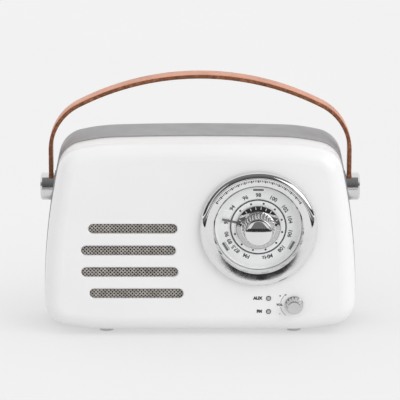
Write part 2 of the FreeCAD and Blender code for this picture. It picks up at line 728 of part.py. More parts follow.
def needle():
    """A thin bar on the pointer disc, aimed at its angle around the dial."""
    bar = doc.addObject("Part::Box", "needle_bar")
    bind(bar, Length="needle_end - needle_start", Width="needle_width", Height="needle_thick")
    turn = Rotation(Y, -NEEDLE_ANGLE).multiply(TURNS["-y"])
    start = turn.multVec(Vector(value("needle_start"), -value("needle_width / 2"), 0))
    bar.Placement = Placement(start, turn)
    bar.setExpression("Placement.Base.x", formula(f"dial_x + {start.x:.4f}"))
    bar.setExpression("Placement.Base.y", formula("front_y + plate_depth - disc_gap - disc_thick"))
    bar.setExpression("Placement.Base.z", formula(f"dial_z + {start.z:.4f}"))
    return node(bar, "tuning_needle")


def tuning_knob():
    at = ("dial_x", "skirt_y", "dial_z")
    bore = "shaft_radius + shaft_gap"
    node(turned("tuning_knob_skirt", [
        (bore, "0"), ("skirt_radius - 0.3", "0"), ("skirt_radius", "0.4"),
        ("skirt_radius", "skirt_thick - 0.7"), ("cap_base", "skirt_thick"), (bore, "skirt_thick"),
    ], at), "tuning_knob_skirt")
    reach = "skirt_y - knob_front_y"
    cap_back = "skirt_thick + 0.05"
    node(turned("tuning_knob_cap", [
        (bore, cap_back), ("cap_base", cap_back), ("cap_front + 0.6", f"{reach} - 0.8"),
        ("cap_front", reach), ("0", reach), ("0", f"{reach} - cap_top"), (bore, f"{reach} - cap_top"),
    ], at), "tuning_knob_cap")
    shaft_front = "knob_front_y + cap_top + 0.3"
    node(rod("tuning_spindle", "shaft_radius", f"bracket_y + 2.2 - ({shaft_front})",
             ("dial_x", shaft_front, "dial_z")), "tuning_shaft")
    tuning_control()


def tuning_control():
    """The tuner can on its bracket, held by a nut on its threaded neck."""
    body_y = "bracket_y + bracket_thick + 0.1"
    can = rod("tuner_can", "tuner_radius", "tuner_depth", ("dial_x", body_y, "dial_z"))
    neck = rod("tuner_neck", "bush_radius", "3.6", ("dial_x", "bracket_y - 2.2", "dial_z"))
    bore = rod("tuner_bore", "shaft_radius + shaft_gap", "4.6",
               ("dial_x", "bracket_y - 2.3", "dial_z"))
    pins = [
        rod(f"tuner_pin_{name}", "0.4", "4",
            (f"dial_x + {across}", f"{body_y} + tuner_depth - 0.5", "dial_z - 6"))
        for name, across in (("left", -2.5), ("middle", 0), ("right", 2.5))
    ]
    node(cut("tuner", fuse("tuner_solid", [can, neck] + pins), [bore]), "tuning_control")
    nut = hexagon("tuner_nut", "nut_radius", "nut_thick", ("dial_x", "bracket_y - 1.7", "dial_z"))
    thread = rod("tuner_thread", "bush_radius + 0.05", "4", ("dial_x", "bracket_y - 3", "dial_z"))
    node(cut("tuner_nut_bored", nut, [thread]), "tuning_nut")
    strip = block("bracket_strip", ("dial_x", "dial_z"),
                  ("bracket_half_length", "bracket_half_height"),
                  "bracket_y", "bracket_y + bracket_thick")
    holes = [
        rod(f"bracket_hole_{index}", radius, "3", (x, "bracket_y - 1", z))
        for index, (radius, (x, z)) in enumerate(
            [("bush_radius + 0.1", ("dial_x", "dial_z"))]
            + [("screw_core + 0.2", post) for post in BRACKET_POSTS]
        )
    ]
    node(cut("bracket", strip, holes), "tuning_bracket")
    small_screws("bracket", BRACKET_POSTS, "bracket_y + bracket_thick + 0.1", "y")


# ---------------------------------------------------------------- volume and lamps


def volume():
    at = ("volume_x", "front_y - 0.5", "volume_z")
    bore = "shaft_radius + shaft_gap"
    tip = "volume_reach - 0.5"
    node(turned("volume_knob", [
        (bore, "3"), ("nut_radius + 0.6", "3"), ("nut_radius + 0.6", "0"),
        ("volume_base", "0"), ("volume_base", "1"), ("volume_front + 1", f"{tip} - 1"),
        ("volume_front", tip), ("0", tip), ("0", f"{tip} - 2"), (bore, f"{tip} - 2"),
    ], at), "volume_knob")
    front = "front_y - volume_reach + 2.3"
    pot_y = "front_y + wall + 1"
    node(rod("volume_spindle", "shaft_radius", f"{pot_y} + 1 - ({front})",
             ("volume_x", front, "volume_z")), "volume_shaft")
    can = rod("pot_can", "pot_radius", f"control_board_y - 0.1 - ({pot_y})",
              ("volume_x", pot_y, "volume_z"))
    neck = rod("pot_neck", "bush_radius", f"{pot_y} + 0.5 - (front_y - 2.4)",
               ("volume_x", "front_y - 2.4", "volume_z"))
    bore = rod("pot_bore", "shaft_radius + shaft_gap", "8.3",
               ("volume_x", "front_y - 3", "volume_z"))
    node(cut("pot", fuse("pot_solid", [can, neck]), [bore]), "volume_control")
    nut = hexagon("pot_nut", "nut_radius", "nut_thick", ("volume_x", "front_y - 1.8", "volume_z"))
    thread = rod("pot_thread", "bush_radius + 0.05", "3", ("volume_x", "front_y - 2.5", "volume_z"))
    node(cut("pot_nut_bored", nut, [thread]), "volume_nut")


def lamps():
    lenses, lamps_inside = [], []
    for name, z in (("high", "lamp_high_z"), ("low", "lamp_low_z")):
        pane = rod(f"lamp_{name}_pane", "lamp_radius", "wall + 0.7",
                   ("lamp_x", "front_y - 0.5", z))
        rim = rod(f"lamp_{name}_rim", "lamp_radius + 0.8", "0.6",
                  ("lamp_x", "front_y + wall + 0.1", z))
        lenses.append(fuse(f"lamp_{name}", [pane, rim]))
        bulb_y = "front_y + wall + 1.1"
        bulb = rod(f"bulb_{name}", "bulb_radius", "bulb_length", ("lamp_x", bulb_y, z))
        leg_y = f"{bulb_y} + bulb_length - 0.2"
        legs = [
            rod(f"leg_{name}_{side}", "leg_radius", f"control_board_y - 0.1 - ({leg_y})",
                (f"lamp_x + {side}*leg_offset", leg_y, z))
            for side in SIDES
        ]
        lamps_inside.append(fuse(f"bulb_{name}_legs", [bulb] + legs))
    node(group("lamp_lenses", lenses), "indicator_lenses")
    node(group("lamp_bulbs", lamps_inside), "indicator_leds")
    board = box("control_plate", ("control_length", "board_thick", "control_height"),
                ("control_left", "control_board_y", "control_low"))
    holes = [
        rod(f"control_hole_{i}", "screw_core + 0.2", "4", (x, "control_board_y - 1", z))
        for i, (x, z) in enumerate(CONTROL_POSTS)
    ]
    node(cut("control_plate_drilled", board, holes), "control_board")
    small_screws("control", CONTROL_POSTS, "control_board_y + board_thick + 0.1", "y")


# ---------------------------------------------------------------- circuit board and panel


def main_board():
    size = ("board_right - board_left", "board_thick", "board_high - board_low")
    plate = box("main_plate", size, ("board_left", "board_y", "board_low"))
    holes = [
        rod(f"main_hole_{i}", "screw_core + 0.2", "4", (x, "board_y - 1", z))
        for i, (x, z) in enumerate(BOARD_POSTS)
    ]
    node(cut("main_plate_drilled", plate, holes), "main_board")
    chips = [
        box(f"chip_{i}", (w, thick, tall), (x, f"board_y - 0.1 - {thick}", z))
        for i, (x, z, w, tall, thick) in enumerate(CHIPS)
    ]
    node(group("chips", chips), "board_chips")
    cans = [
        rod(f"can_{i}", r, length, (x, "board_y - 0.1", z), "-y")
        for i, (x, z, r, length) in enumerate(CANS)
    ]
    node(group("cans", cans), "board_capacitors")
    small_screws("board", BOARD_POSTS, "board_y - 0.1", "-y")


# Left side, low side, width, height and thickness; then centre, radius and length.
CHIPS = [(30, 60, 12, 12, 1.2), (60, 62, 9, 9, 1.0), (76, 44, 6, 10, 1.4), (22, 44, 16, 6, 2.4)]
CANS = [(50, 50, 4, 9), (62, 52, 4, 9), (84, 66, 3.2, 7), (26, 77.6, 4.6, 11)]


def panel_parts():
    back = "board_y + board_thick + 0.1"
    jack = block("aux_case", ("aux_x", "panel_z"), ("aux_half", "aux_half"),
                 back, "back_y - wall - 0.2")
    nose = rod("aux_nose", "aux_nose", "wall + 0.4", ("aux_x", "back_y - wall - 0.6", "panel_z"))
    bore = rod("aux_bore", "aux_bore", "9", ("aux_x", "back_y - 8", "panel_z"))
    node(cut("aux", fuse("aux_solid", [jack, nose]), [bore]), "aux_socket")
    at = ("charge_x", "panel_z")
    case = block("charge_case", at, ("charge_half_width", "charge_half_height"),
                 back, "back_y - 0.4")
    mouth = block("charge_mouth", at,
                  ("charge_half_width - charge_wall", "charge_half_height - charge_wall"),
                  "back_y - 7", "back_y")
    tongue = block("charge_tongue", at, ("charge_half_width - 1.2", "charge_wall"),
                   "back_y - 7.2", "back_y - 1")
    shell = cut("charge_shell", case, [mouth])
    node(fuse("charge", [shell, tongue]), "charge_socket")
    node(block("power_case", ("power_x", "panel_z"), ("7.5", "4"), back, "back_y - wall - 2.4"),
         "power_switch")
    rest = "power_x - slider_travel / 2"
    foot = block("slider_foot", (rest, "panel_z"), ("7.4", "3.4"),
                 "back_y - wall - 2.0", "back_y - wall - 0.4")
    thumb = block("slider_thumb", (rest, "panel_z"), ("2.4", "1.9"),
                  "back_y - wall - 0.6", "back_y + 1.2")
    grooves = [
        block(f"slider_groove_{i}", (f"{rest} + {i * 1.4}", "panel_z"), ("0.3", "3"),
              "back_y + 0.8", "back_y + 2")
        for i in (-1, 0, 1)
    ]
    node(cut("slider", fuse("slider_solid", [foot, thumb]), grooves), "power_slider")
    node(block("mode_case", ("mode_x", "panel_z"), ("3.5", "3.5"), back, "back_y - wall - 5"),
         "mode_switch")
    stem = "back_y - wall - 4.7 + button_travel"
    node(turned("mode_button", [
        ("0", "0"), ("1.6", "0"), ("1.6", "1.4"), ("4.4", "1.4"), ("4.4", "3.5"),
        ("3.1", "3.5"), ("3.1", "6.9"), ("2.7", "7.3"), ("0", "7.3"),
    ], ("mode_x", stem, "panel_z"), "y"), "mode_button")


# ---------------------------------------------------------------- battery


def battery():
    cells = []
    for name, z in (("low", "cell_low_z"), ("high", "cell_high_z")):
        can = rod(f"cell_{name}_can", "cell_radius", "cell_length", ("cell_left", "cell_y", z), "x")
        tip_x = "cell_left + cell_length - 0.2"
        tip = rod(f"cell_{name}_tip", "cell_radius / 3", "1.2", (tip_x, "cell_y", z), "x")
        cells.append(fuse(f"cell_{name}", [can, tip]))
    node(group("cells", cells), "battery_cells")
    left, right = "cell_left - 3.6", "cell_left + cell_length + 3.8"
    low, high = "cell_low_z - cell_radius - 1.6", "cell_high_z + cell_radius + 1.6"
    back = "back_y - wall - 0.3"
    width, height = f"{right} - ({left})", f"{high} - ({low})"
    outer = box("holder_outer", (width, f"{back} - holder_front", height),
                (left, "holder_front", low))
    tabs = [
        block(f"holder_tab_{i}", (x, f"{z} - 1.5"), ("5", "5.5"), f"{back} - 1.3", back)
        for i, (x, z) in enumerate(HOLDER_TABS)
    ]
    room = box("holder_room",
               (f"{width} - 2*holder_wall", f"{back} - holder_front - 0.7", f"{height} - 2*holder_wall"),
               (f"{left} + holder_wall", "holder_front - 0.6", f"{low} + holder_wall"))
    holes = [
        rod(f"holder_hole_{i}", "screw_core + 0.2", "4", (x, f"{back} - 3", z))
        for i, (x, z) in enumerate(HOLDER_TABS)
    ]
    node(cut("holder", fuse("holder_solid", [outer] + tabs), [room] + holes), "battery_holder")
    half = "contact_size / 2"
    plates = [
        box("bridge_plate", ("contact_thick", "contact_size", "cell_high_z - cell_low_z + contact_size"),
            (f"{left} + 1.7", f"cell_y - {half}", f"cell_low_z - {half}")),
    ]
    for name, z in (("low", "cell_low_z"), ("high", "cell_high_z")):
        plates.append(box(f"end_plate_{name}", ("contact_thick", "contact_size", "contact_size"),
                          (f"{right} - 2.2", f"cell_y - {half}", f"{z} - {half}")))
    node(group("contacts", plates), "battery_contacts")
    small_screws("holder", HOLDER_TABS, f"{back} - 1.4", "-y")


# ---------------------------------------------------------------- carrying handle


def strap():
    """A band that arches over the radio: a wide arch, two bends and two legs with narrow ends."""
    body = new_body("strap")
    sketch = add_sketch(body, "strap_outline", "XZ_Plane", "0 - pivot_y - strap_width / 2")
    arch, bend, inner = value("strap_arch"), value("strap_bend"), value("strap_inner")
    turn = math.asin((inner - bend) / (arch - bend))
    arch_centre = Vector(0, value("strap_top") - arch, 0)
    bend_centre = arch_centre + Vector(math.sin(turn), math.cos(turn), 0) * (arch - bend)
    low = value("strap_end")
    thick = value("strap_thick")
    quarter = math.pi / 2

    def arc(centre, radius, start, end):
        whole = Part.Circle(centre, Z, radius)
        return sketch.addGeometry(Part.ArcOfCircle(whole, start, end), False)

    def line(start, end):
        return sketch.addGeometry(Part.LineSegment(start, end), False)

    outer = inner + thick
    mirror = Vector(-bend_centre.x, bend_centre.y, 0)
    bend_z = bend_centre.y
    edges = [
        line(Vector(outer, low, 0), Vector(outer, bend_z, 0)),
        arc(bend_centre, bend + thick, 0, quarter - turn),
        arc(arch_centre, arch + thick, quarter - turn, quarter + turn),
        arc(mirror, bend + thick, quarter + turn, math.pi),
        line(Vector(-outer, bend_z, 0), Vector(-outer, low, 0)),
        line(Vector(-outer, low, 0), Vector(-inner, low, 0)),
        line(Vector(-inner, low, 0), Vector(-inner, bend_z, 0)),
        arc(mirror, bend, quarter + turn, math.pi),
        arc(arch_centre, arch, quarter - turn, quarter + turn),
        arc(bend_centre, bend, 0, quarter - turn),
        line(Vector(inner, bend_z, 0), Vector(inner, low, 0)),
        line(Vector(inner, low, 0), Vector(outer, low, 0)),
    ]
    inside = edges[7:10]
    for index, edge in enumerate(edges):
        following = edges[(index + 1) % len(edges)]
        leaving = 1 if edge in inside else 2
        arriving = 2 if following in inside else 1
        square = index in (4, 5, 10, 11)
        kind = "Coincident" if square else "Tangent"
        sketch.addConstraint(Sketcher.Constraint(kind, edge, leaving, following, arriving))
    for edge, cell in ((edges[8], "strap_arch"), (edges[9], "strap_bend")):
        index = sketch.addConstraint(Sketcher.Constraint("Radius", edge, value(cell)))
        sketch.setExpression(f"Constraints[{index}]", formula(cell))
    pin_point(sketch, edges[0], 1, "strap_inner + strap_thick", "strap_end")
    pin_point(sketch, edges[10], 2, "strap_inner", "strap_end")
    pin_point(sketch, edges[8], 3, "0", "strap_top - strap_arch")
    pad(body, sketch, "strap_pad", "strap_width")
    cheeks = add_sketch(body, "tongue_cheeks", "YZ_Plane", "strap_inner + strap_thick + 1")
    flare_top = "tongue_top + tongue_flare"
    for side in ("+", "-"):
        polygon(cheeks, [
            (f"pivot_y {side} tongue_width / 2", "strap_end - 1"),
            (f"pivot_y {side} tongue_width / 2", "tongue_top"),
            (f"pivot_y {side} strap_width / 2", flare_top),
            (f"pivot_y {side} (strap_width / 2 + 1)", flare_top),
            (f"pivot_y {side} (strap_width / 2 + 1)", "strap_end - 1"),
        ])
    pocket(body, cheeks, "tongue_cheeks_cut", "2*(strap_inner + strap_thick + 1)")
    faces = (value("pivot_y - strap_width / 2"), value("pivot_y + strap_width / 2"))
    treat_edges(
        body, "Fillet", "strap_edges", "strap_round",
        lambda b: any(abs(b.YMin - y) < SMALL and abs(b.YMax - y) < SMALL for y in faces)
        and b.ZLength + b.XLength > value("strap_thick") + 1,
    )
    return node(body, "handle_strap")


def lugs():
    for side, name, along in ((-1, "left", "-x"), (1, "right", "x")):
        depth = "lug_outer - lug_inner"
        drum = turned(f"lug_{name}_drum", [
            ("0", "0"), ("lug_radius", "0"), ("lug_radius", f"{depth} - lug_chamfer"),
            ("lug_radius - lug_chamfer", depth), ("0", depth),
        ], (f"{side}*lug_inner", "pivot_y", "pivot_z"), along)
        pin = rod(f"lug_{name}_pin", "pin_radius", "lug_inner - hub_inner + 0.9",
                  (f"{side}*(hub_inner - 0.4)", "pivot_y", "pivot_z"), along)
        x_low = "strap_inner - 0.15" if side > 0 else "0 - strap_inner - strap_thick - 0.15"
        slot = box(f"lug_{name}_slot", ("strap_thick + 0.3", "tongue_width + 0.4", "3*lug_radius"),
                   (x_low, "pivot_y - tongue_width / 2 - 0.2", "strap_end - 0.2"))
        thread = rod(f"lug_{name}_thread", "bolt_core + screw_gap", "bolt_length",
                     (f"{side}*(hub_inner - 1)", "pivot_y", "pivot_z"), along)
        solid = fuse(f"lug_{name}_solid", [drum, pin])
        node(cut(f"lug_{name}", solid, [slot, thread]), f"handle_lug_{name}")


def pivot_hardware():
    washers, bolts = [], []
    for side, name, outward in ((-1, "left", "-x"), (1, "right", "x")):
        at = (f"{side}*(hub_inner - 1.3)", "pivot_y", "pivot_z")
        disc = rod(f"washer_{name}_disc", "washer_radius", "washer_thick", at, outward)
        hole = rod(f"washer_{name}_hole", "bolt_core + 0.3", "washer_thick + 2",
                   (f"{side}*(hub_inner - 2.3)", "pivot_y", "pivot_z"), outward)
        washers.append(cut(f"washer_{name}", disc, [hole]))
        head = rod(f"bolt_{name}_head", "bolt_head", "head_thick",
                   (f"{side}*(hub_inner - 3.2)", "pivot_y", "pivot_z"), outward)
        shank = rod(f"bolt_{name}_shank", "bolt_core", "bolt_length",
                    (f"{side}*(hub_inner - 2)", "pivot_y", "pivot_z"), outward)
        bolts.append(fuse(f"bolt_{name}", [head, shank]))
    node(group("pivot_washer_pair", washers), "pivot_washers")
    node(group("pivot_bolt_pair", bolts), "pivot_bolts")


# ---------------------------------------------------------------- aerial


def aerial():
    flange = rod("aerial_flange", "bush_flange", "1.4", ("aerial_x", "back_y + 0.1", "aerial_z"))
    neck = rod("aerial_neck", "bush_neck", "8", ("aerial_x", "back_y - 6.5", "aerial_z"))
    bore = rod("aerial_bore", "bush_pivot + shaft_gap", "14", ("aerial_x", "back_y - 8", "aerial_z"))
    node(cut("aerial_bush", fuse("aerial_bush_solid", [flange, neck]), [bore]), "aerial_base")
    ring = hexagon("aerial_ring_hex", "bush_neck + 2.1", "1.8",
                   ("aerial_x", "back_y - wall - 1.9", "aerial_z"))
    ring_hole = rod("aerial_ring_hole", "bush_neck + 0.05", "4",
                    ("aerial_x", "back_y - wall - 3", "aerial_z"))
    node(cut("aerial_ring", ring, [ring_hole]), "aerial_nut")
    web_y = "back_y + 1.8"
    pivot = rod("yoke_pivot", "bush_pivot", "8.5", ("aerial_x", "back_y - 6.6", "aerial_z"))
    web = block("yoke_web", ("aerial_x", "aerial_z"), ("yoke_radius", "yoke_height / 2"),
                web_y, "aerial_y")
    barrel = rod("yoke_barrel", "yoke_radius", "yoke_height",
                 ("aerial_x", "aerial_y", "aerial_z - yoke_height / 2"), "z")
    gap = block("yoke_gap", ("aerial_x", "aerial_z"), ("6", "tongue_thick / 2 + 0.3"),
                f"{web_y} + 0.4", "aerial_y + 6")
    hole = rod("yoke_hole", "pivot_pin + 0.03", "12",
               ("aerial_x", "aerial_y", "aerial_z - 6"), "z")
    node(cut("yoke", fuse("yoke_solid", [pivot, web, barrel]), [gap, hole]), "aerial_swivel")
    node(rod("yoke_pin", "pivot_pin", "yoke_height - 0.4",
             ("aerial_x", "aerial_y", "aerial_z - yoke_height / 2 + 0.2"), "z"), "aerial_pin")
    masts()


def masts():
    """Four sections that slide out of one another, closed up and pointing to the left."""
    far = "aerial_x - aerial_length"
    axis = ("aerial_y", "aerial_z")
    knob = rod("tongue_round", "tongue_radius", "tongue_thick",
               ("aerial_x", "aerial_y", "aerial_z - tongue_thick / 2"), "z")
    bar = block("tongue_bar", ("aerial_x - 4", "aerial_z"), ("4", "tongue_thick / 2"),
                "aerial_y - tongue_radius", "aerial_y + tongue_radius")
    plug = rod("tongue_plug", "mast_radius", "3", ("aerial_x - 5", *axis), "-x")
    sleeve = rod("mast_1_skin", "mast_radius", "aerial_length - 5", ("aerial_x - 5", *axis), "-x")
    bore = rod("mast_1_bore", "mast_radius - mast_step + mast_gap", "aerial_length",
               ("aerial_x - 9", *axis), "-x")
    hole = rod("tongue_hole", "pivot_pin + 0.06", "12",
               ("aerial_x", "aerial_y", "aerial_z - 6"), "z")
    solid = fuse("mast_1_solid", [knob, bar, plug, sleeve])
    node(cut("mast_1", solid, [bore, hole]), "aerial_mast_1")
    for step in (2, 3):
        outer = rod(f"mast_{step}_skin", f"mast_radius - {step - 1}*mast_step",
                    f"aerial_length - 9 - {step}", (f"aerial_x - 9 - {step}", *axis), "-x")
        inner = rod(f"mast_{step}_bore", f"mast_radius - {step}*mast_step + mast_gap",
                    "aerial_length", (f"aerial_x - 10 - {step}", *axis), "-x")
        node(cut(f"mast_{step}", outer, [inner]), f"aerial_mast_{step}")
    last = rod("mast_4_rod", "mast_radius - 3*mast_step", "aerial_length - 13 + 1",
               ("aerial_x - 13", *axis), "-x")
    tip = rod("mast_4_tip", "mast_radius", "5", (f"{far} - 0.5", *axis), "-x")
    node(fuse("mast_4", [last, tip]), "aerial_mast_4")


# ---------------------------------------------------------------- leads


def lead(label, radius, bend, points):
    """A round lead along straight runs joined by tangent arcs, through points in order."""
    places = [Vector(*[value(text) for text in point]) for point in points]
    edges = []
    start = places[0]
    for here, corner, after in zip(places, places[1:], places[2:]):
        arriving, leaving = (corner - here).normalize(), (after - corner).normalize()
        half = arriving.getAngle(leaving) / 2
        trim = bend * math.tan(half)
        first, last = corner - arriving * trim, corner + leaving * trim
        inward = (leaving - arriving).normalize()
        middle = corner + inward * (bend / math.cos(half) - bend)
        edges.append(Part.LineSegment(start, first).toShape())
        edges.append(Part.Arc(first, middle, last).toShape())
        start = last
    edges.append(Part.LineSegment(start, places[-1]).toShape())
    path = Part.Wire(edges)
    ring = Part.Wire([Part.Circle(places[0], places[1] - places[0], radius).toShape()])
    solid = path.makePipeShell([ring], True, True)
    expected = math.pi * radius**2 * path.Length
    if abs(solid.Volume - expected) > 0.02 * expected:
        raise RuntimeError(f"{label} is not a plain round lead")
    item = doc.addObject("Part::Feature", f"{label}_run")
    item.Shape = solid
    return node(item, label)


def leads():
    lead("speaker_lead", 0.9, 6, [
        ("speaker_x + 27", "driver_y + 10", "speaker_z + 8"),
        ("speaker_x + 38", "driver_y + 10", "speaker_z + 8"),
        ("speaker_x + 54", "5.1", "72"),
        ("14", "15.1", "72"),
        ("14", "board_y - 0.7", "64"),
    ])
    lead("battery_lead", 0.9, 5, [
        ("cell_left + cell_length + 2.2", "21.7", "cell_high_z"),
        ("cell_left + cell_length + 14", "21.7", "cell_high_z"),
        ("4", "21.7", "50"),
        ("14", "21.7", "50"),
        ("14", "board_y - 0.3", "50"),
    ])
    lead("aerial_lead", 0.6, 5, [
        ("aerial_x", "back_y - 8.6", "aerial_z"),
        ("aerial_x", "23.1", "aerial_z"),
        ("aerial_x", "23.1", "78"),
        ("aerial_x", "board_y - 0.3", "78"),
    ])
    lead("control_lead", 1.4, 6, [
        ("40", "control_board_y + board_thick + 0.3", "34"),
        ("40", "-12.9", "34"),
        ("40", "13.1", "38"),
        ("40", "board_y - 0.3", "38"),
    ])


# ---------------------------------------------------------------- assembly

front_shell()
rear_shell()
case_screws()
feet()
speaker()
dial()
tuning_knob()
volume()
lamps()
main_board()
panel_parts()
battery()
strap()
lugs()
pivot_hardware()
aerial()
leads()
node(group("small_screw_set", SMALL_SCREWS), "small_screws")
doc.recompute()

for item in doc.Objects:
    if "Invalid" in item.State or "Error" in item.State:
        raise RuntimeError(f"{item.Name} failed: {item.State}")
os.makedirs("parts", exist_ok=True)
for item in NODES:
    shape = item.Shape
    if shape.isNull() or not shape.isValid() or not shape.Solids:
        raise RuntimeError(f"{item.Label} has no valid solid")
    shape.exportStep(f"parts/{item.Label}.step")
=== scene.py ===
"""The looks of the tabletop radio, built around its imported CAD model. Metres."""

import math

import bmesh
import bpy
from mathutils import Matrix, Vector


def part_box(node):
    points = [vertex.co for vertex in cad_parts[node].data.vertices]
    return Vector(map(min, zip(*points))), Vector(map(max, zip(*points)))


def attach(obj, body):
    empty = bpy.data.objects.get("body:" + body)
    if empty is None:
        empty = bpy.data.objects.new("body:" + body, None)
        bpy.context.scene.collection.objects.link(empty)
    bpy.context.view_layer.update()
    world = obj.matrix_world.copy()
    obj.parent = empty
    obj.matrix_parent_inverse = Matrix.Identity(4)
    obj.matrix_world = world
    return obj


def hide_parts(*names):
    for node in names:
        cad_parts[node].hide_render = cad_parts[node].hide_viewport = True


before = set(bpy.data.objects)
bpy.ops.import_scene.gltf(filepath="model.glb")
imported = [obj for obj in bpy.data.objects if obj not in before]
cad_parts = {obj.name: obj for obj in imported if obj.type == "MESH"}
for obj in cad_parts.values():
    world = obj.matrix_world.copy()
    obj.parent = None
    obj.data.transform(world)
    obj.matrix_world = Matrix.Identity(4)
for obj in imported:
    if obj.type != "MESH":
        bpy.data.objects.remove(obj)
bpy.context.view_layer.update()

MM = 0.001

scene = bpy.context.scene
scene.view_settings.view_transform = "Standard"


# ------------------------------------------------------------ places, read from the frame


def low(node):
    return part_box(node)[0]


def high(node):
    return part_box(node)[1]


def middle(node):
    return (low(node) + high(node)) / 2


DIAL = middle("dial_bezel")
VOLUME = middle("volume_knob")
FACE_Y = low("front_shell").y
PLATE_Y = low("dial_plate").y
DISC_Y = low("pointer_disc").y
DISC_RADIUS = (high("pointer_disc").x - low("pointer_disc").x) / 2
PRINT = 0.04 * MM

# A font's size over the height of its capitals and figures.
SIZE_PER_CAPITAL = 1.38


# ------------------------------------------------------------ materials


# Most of a noise's values lie between these two.
NOISE_LOW = 0.3
NOISE_HIGH = 0.7


class Paint:
    """A node material on a Principled shader, with the noise it is built from."""

    def __init__(self, name, **constants):
        self.material = bpy.data.materials.new(name)
        self.material.use_nodes = True
        self.tree = self.material.node_tree
        self.shader = self.tree.nodes["Principled BSDF"]
        for socket, amount in constants.items():
            self.shader.inputs[socket.replace("_", " ")].default_value = amount
        self.place = self.tree.nodes.new("ShaderNodeTexCoord").outputs["Object"]

    def stretched(self, scale):
        mapping = self.tree.nodes.new("ShaderNodeMapping")
        mapping.inputs["Scale"].default_value = scale
        self.tree.links.new(self.place, mapping.inputs["Vector"])
        return mapping.outputs["Vector"]

    def noise(self, scale, detail=4.0, rough=0.55, at=None):
        node = self.tree.nodes.new("ShaderNodeTexNoise")
        node.inputs["Scale"].default_value = scale
        node.inputs["Detail"].default_value = detail
        node.inputs["Roughness"].default_value = rough
        self.tree.links.new(at or self.place, node.inputs["Vector"])
        return node.outputs["Fac"]

    def cells(self, scale, feature="F1", at=None):
        node = self.tree.nodes.new("ShaderNodeTexVoronoi")
        node.feature = feature
        node.inputs["Scale"].default_value = scale
        self.tree.links.new(at or self.place, node.inputs["Vector"])
        return node.outputs["Distance"]

    def between(self, source, from_low, from_high, to_low, to_high):
        node = self.tree.nodes.new("ShaderNodeMapRange")
        for socket, amount in (
            ("From Min", from_low), ("From Max", from_high), ("To Min", to_low), ("To Max", to_high)
        ):
            node.inputs[socket].default_value = amount
        self.tree.links.new(source, node.inputs["Value"])
        return node.outputs["Result"]

    def ramp(self, source, stops):
        node = self.tree.nodes.new("ShaderNodeValToRGB")
        ramp = node.color_ramp
        while len(ramp.elements) < len(stops):
            ramp.elements.new(0.5)
        for element, (position, colour) in zip(ramp.elements, stops):
            element.position = position
            element.color = (*colour, 1)
        self.tree.links.new(source, node.inputs["Fac"])
        return node.outputs["Color"]

    def colour(self, source, stops):
        self.tree.links.new(self.ramp(source, stops), self.shader.inputs["Base Color"])

    def mottle(self, source, dark, light):
        self.colour(source, [(NOISE_LOW, dark), (NOISE_HIGH, light)])

    def roughness(self, source, smooth, dull):
        spread = self.between(source, NOISE_LOW, NOISE_HIGH, smooth, dull)
        self.tree.links.new(spread, self.shader.inputs["Roughness"])

    def bump(self, *layers):
        """Layers of (height source, strength, depth), each laid over the one before."""
        normal = None
        for source, strength, depth in layers:
            node = self.tree.nodes.new("ShaderNodeBump")
            node.inputs["Strength"].default_value = strength
            node.inputs["Distance"].default_value = depth
            self.tree.links.new(source, node.inputs["Height"])
            if normal:
                self.tree.links.new(normal, node.inputs["Normal"])
            normal = node.outputs["Normal"]
        self.tree.links.new(normal, self.shader.inputs["Normal"])


def grey(value):
    return (value, value, value)


def white_plastic():
    paint = Paint("white_plastic", Coat_Weight=0.35, Coat_Roughness=0.08, Coat_IOR=1.45)
    paint.mottle(paint.noise(9, 3), (0.77, 0.77, 0.775), (0.80, 0.80, 0.805))
    paint.roughness(paint.noise(55, 5), 0.30, 0.40)
    paint.bump((paint.noise(160, 3), 0.04, 0.2 * MM), (paint.noise(1500, 2), 0.05, 0.05 * MM))
    return paint.material


def grey_plastic():
    paint = Paint("grey_plastic")
    paint.mottle(paint.noise(14, 4), (0.318, 0.325, 0.338), (0.350, 0.358, 0.371))
    paint.roughness(paint.noise(80, 5), 0.42, 0.56)
    paint.bump(
        (paint.cells(950), 0.25, 0.06 * MM), (paint.noise(2200, 3), 0.25, 0.05 * MM)
    )
    return paint.material


def chrome(name="chrome", tone=0.78, smooth=0.02, dull=0.06):
    paint = Paint(name, Metallic=1.0)
    paint.mottle(paint.noise(40, 4), grey(tone), grey(tone + 0.05))
    paint.roughness(paint.noise(120, 6, 0.65), smooth, dull)
    paint.bump((paint.noise(260, 3), 0.02, 0.05 * MM))
    return paint.material


def steel(name="steel", tone=0.50):
    paint = Paint(name, Metallic=1.0)
    paint.mottle(paint.noise(90, 4), grey(tone), grey(tone + 0.12))
    paint.roughness(paint.noise(700, 4, at=paint.stretched((1, 1, 0.06))), 0.24, 0.42)
    paint.bump((paint.noise(900, 3, at=paint.stretched((1, 1, 0.06))), 0.12, 0.05 * MM))
    return paint.material


def leather_face():
    paint = Paint("leather_face", Sheen_Weight=0.12, Sheen_Roughness=0.5)
    tone = paint.noise(38, 6, 0.62)
    paint.colour(tone, [
        (0.28, (0.44, 0.165, 0.088)), (0.5, (0.60, 0.245, 0.140)), (0.74, (0.72, 0.33, 0.205)),
    ])
    paint.roughness(paint.noise(420, 5), 0.40, 0.60)
    paint.bump(
        (paint.noise(90, 4), 0.18, 0.25 * MM),
        (paint.cells(1250), 0.45, 0.12 * MM),
        (paint.noise(3200, 3), 0.25, 0.05 * MM),
    )
    return paint.material


def leather_edge():
    paint = Paint("leather_edge")
    fibres = paint.noise(620, 6, 0.75, at=paint.stretched((0.5, 1.0, 0.5)))
    paint.colour(fibres, [
        (0.30, (0.065, 0.017, 0.005)), (0.52, (0.19, 0.058, 0.018)), (0.72, (0.42, 0.16, 0.062)),
    ])
    paint.roughness(fibres, 0.55, 0.80)
    paint.bump((fibres, 0.7, 0.2 * MM), (paint.noise(2600, 3), 0.4, 0.08 * MM))
    return paint.material


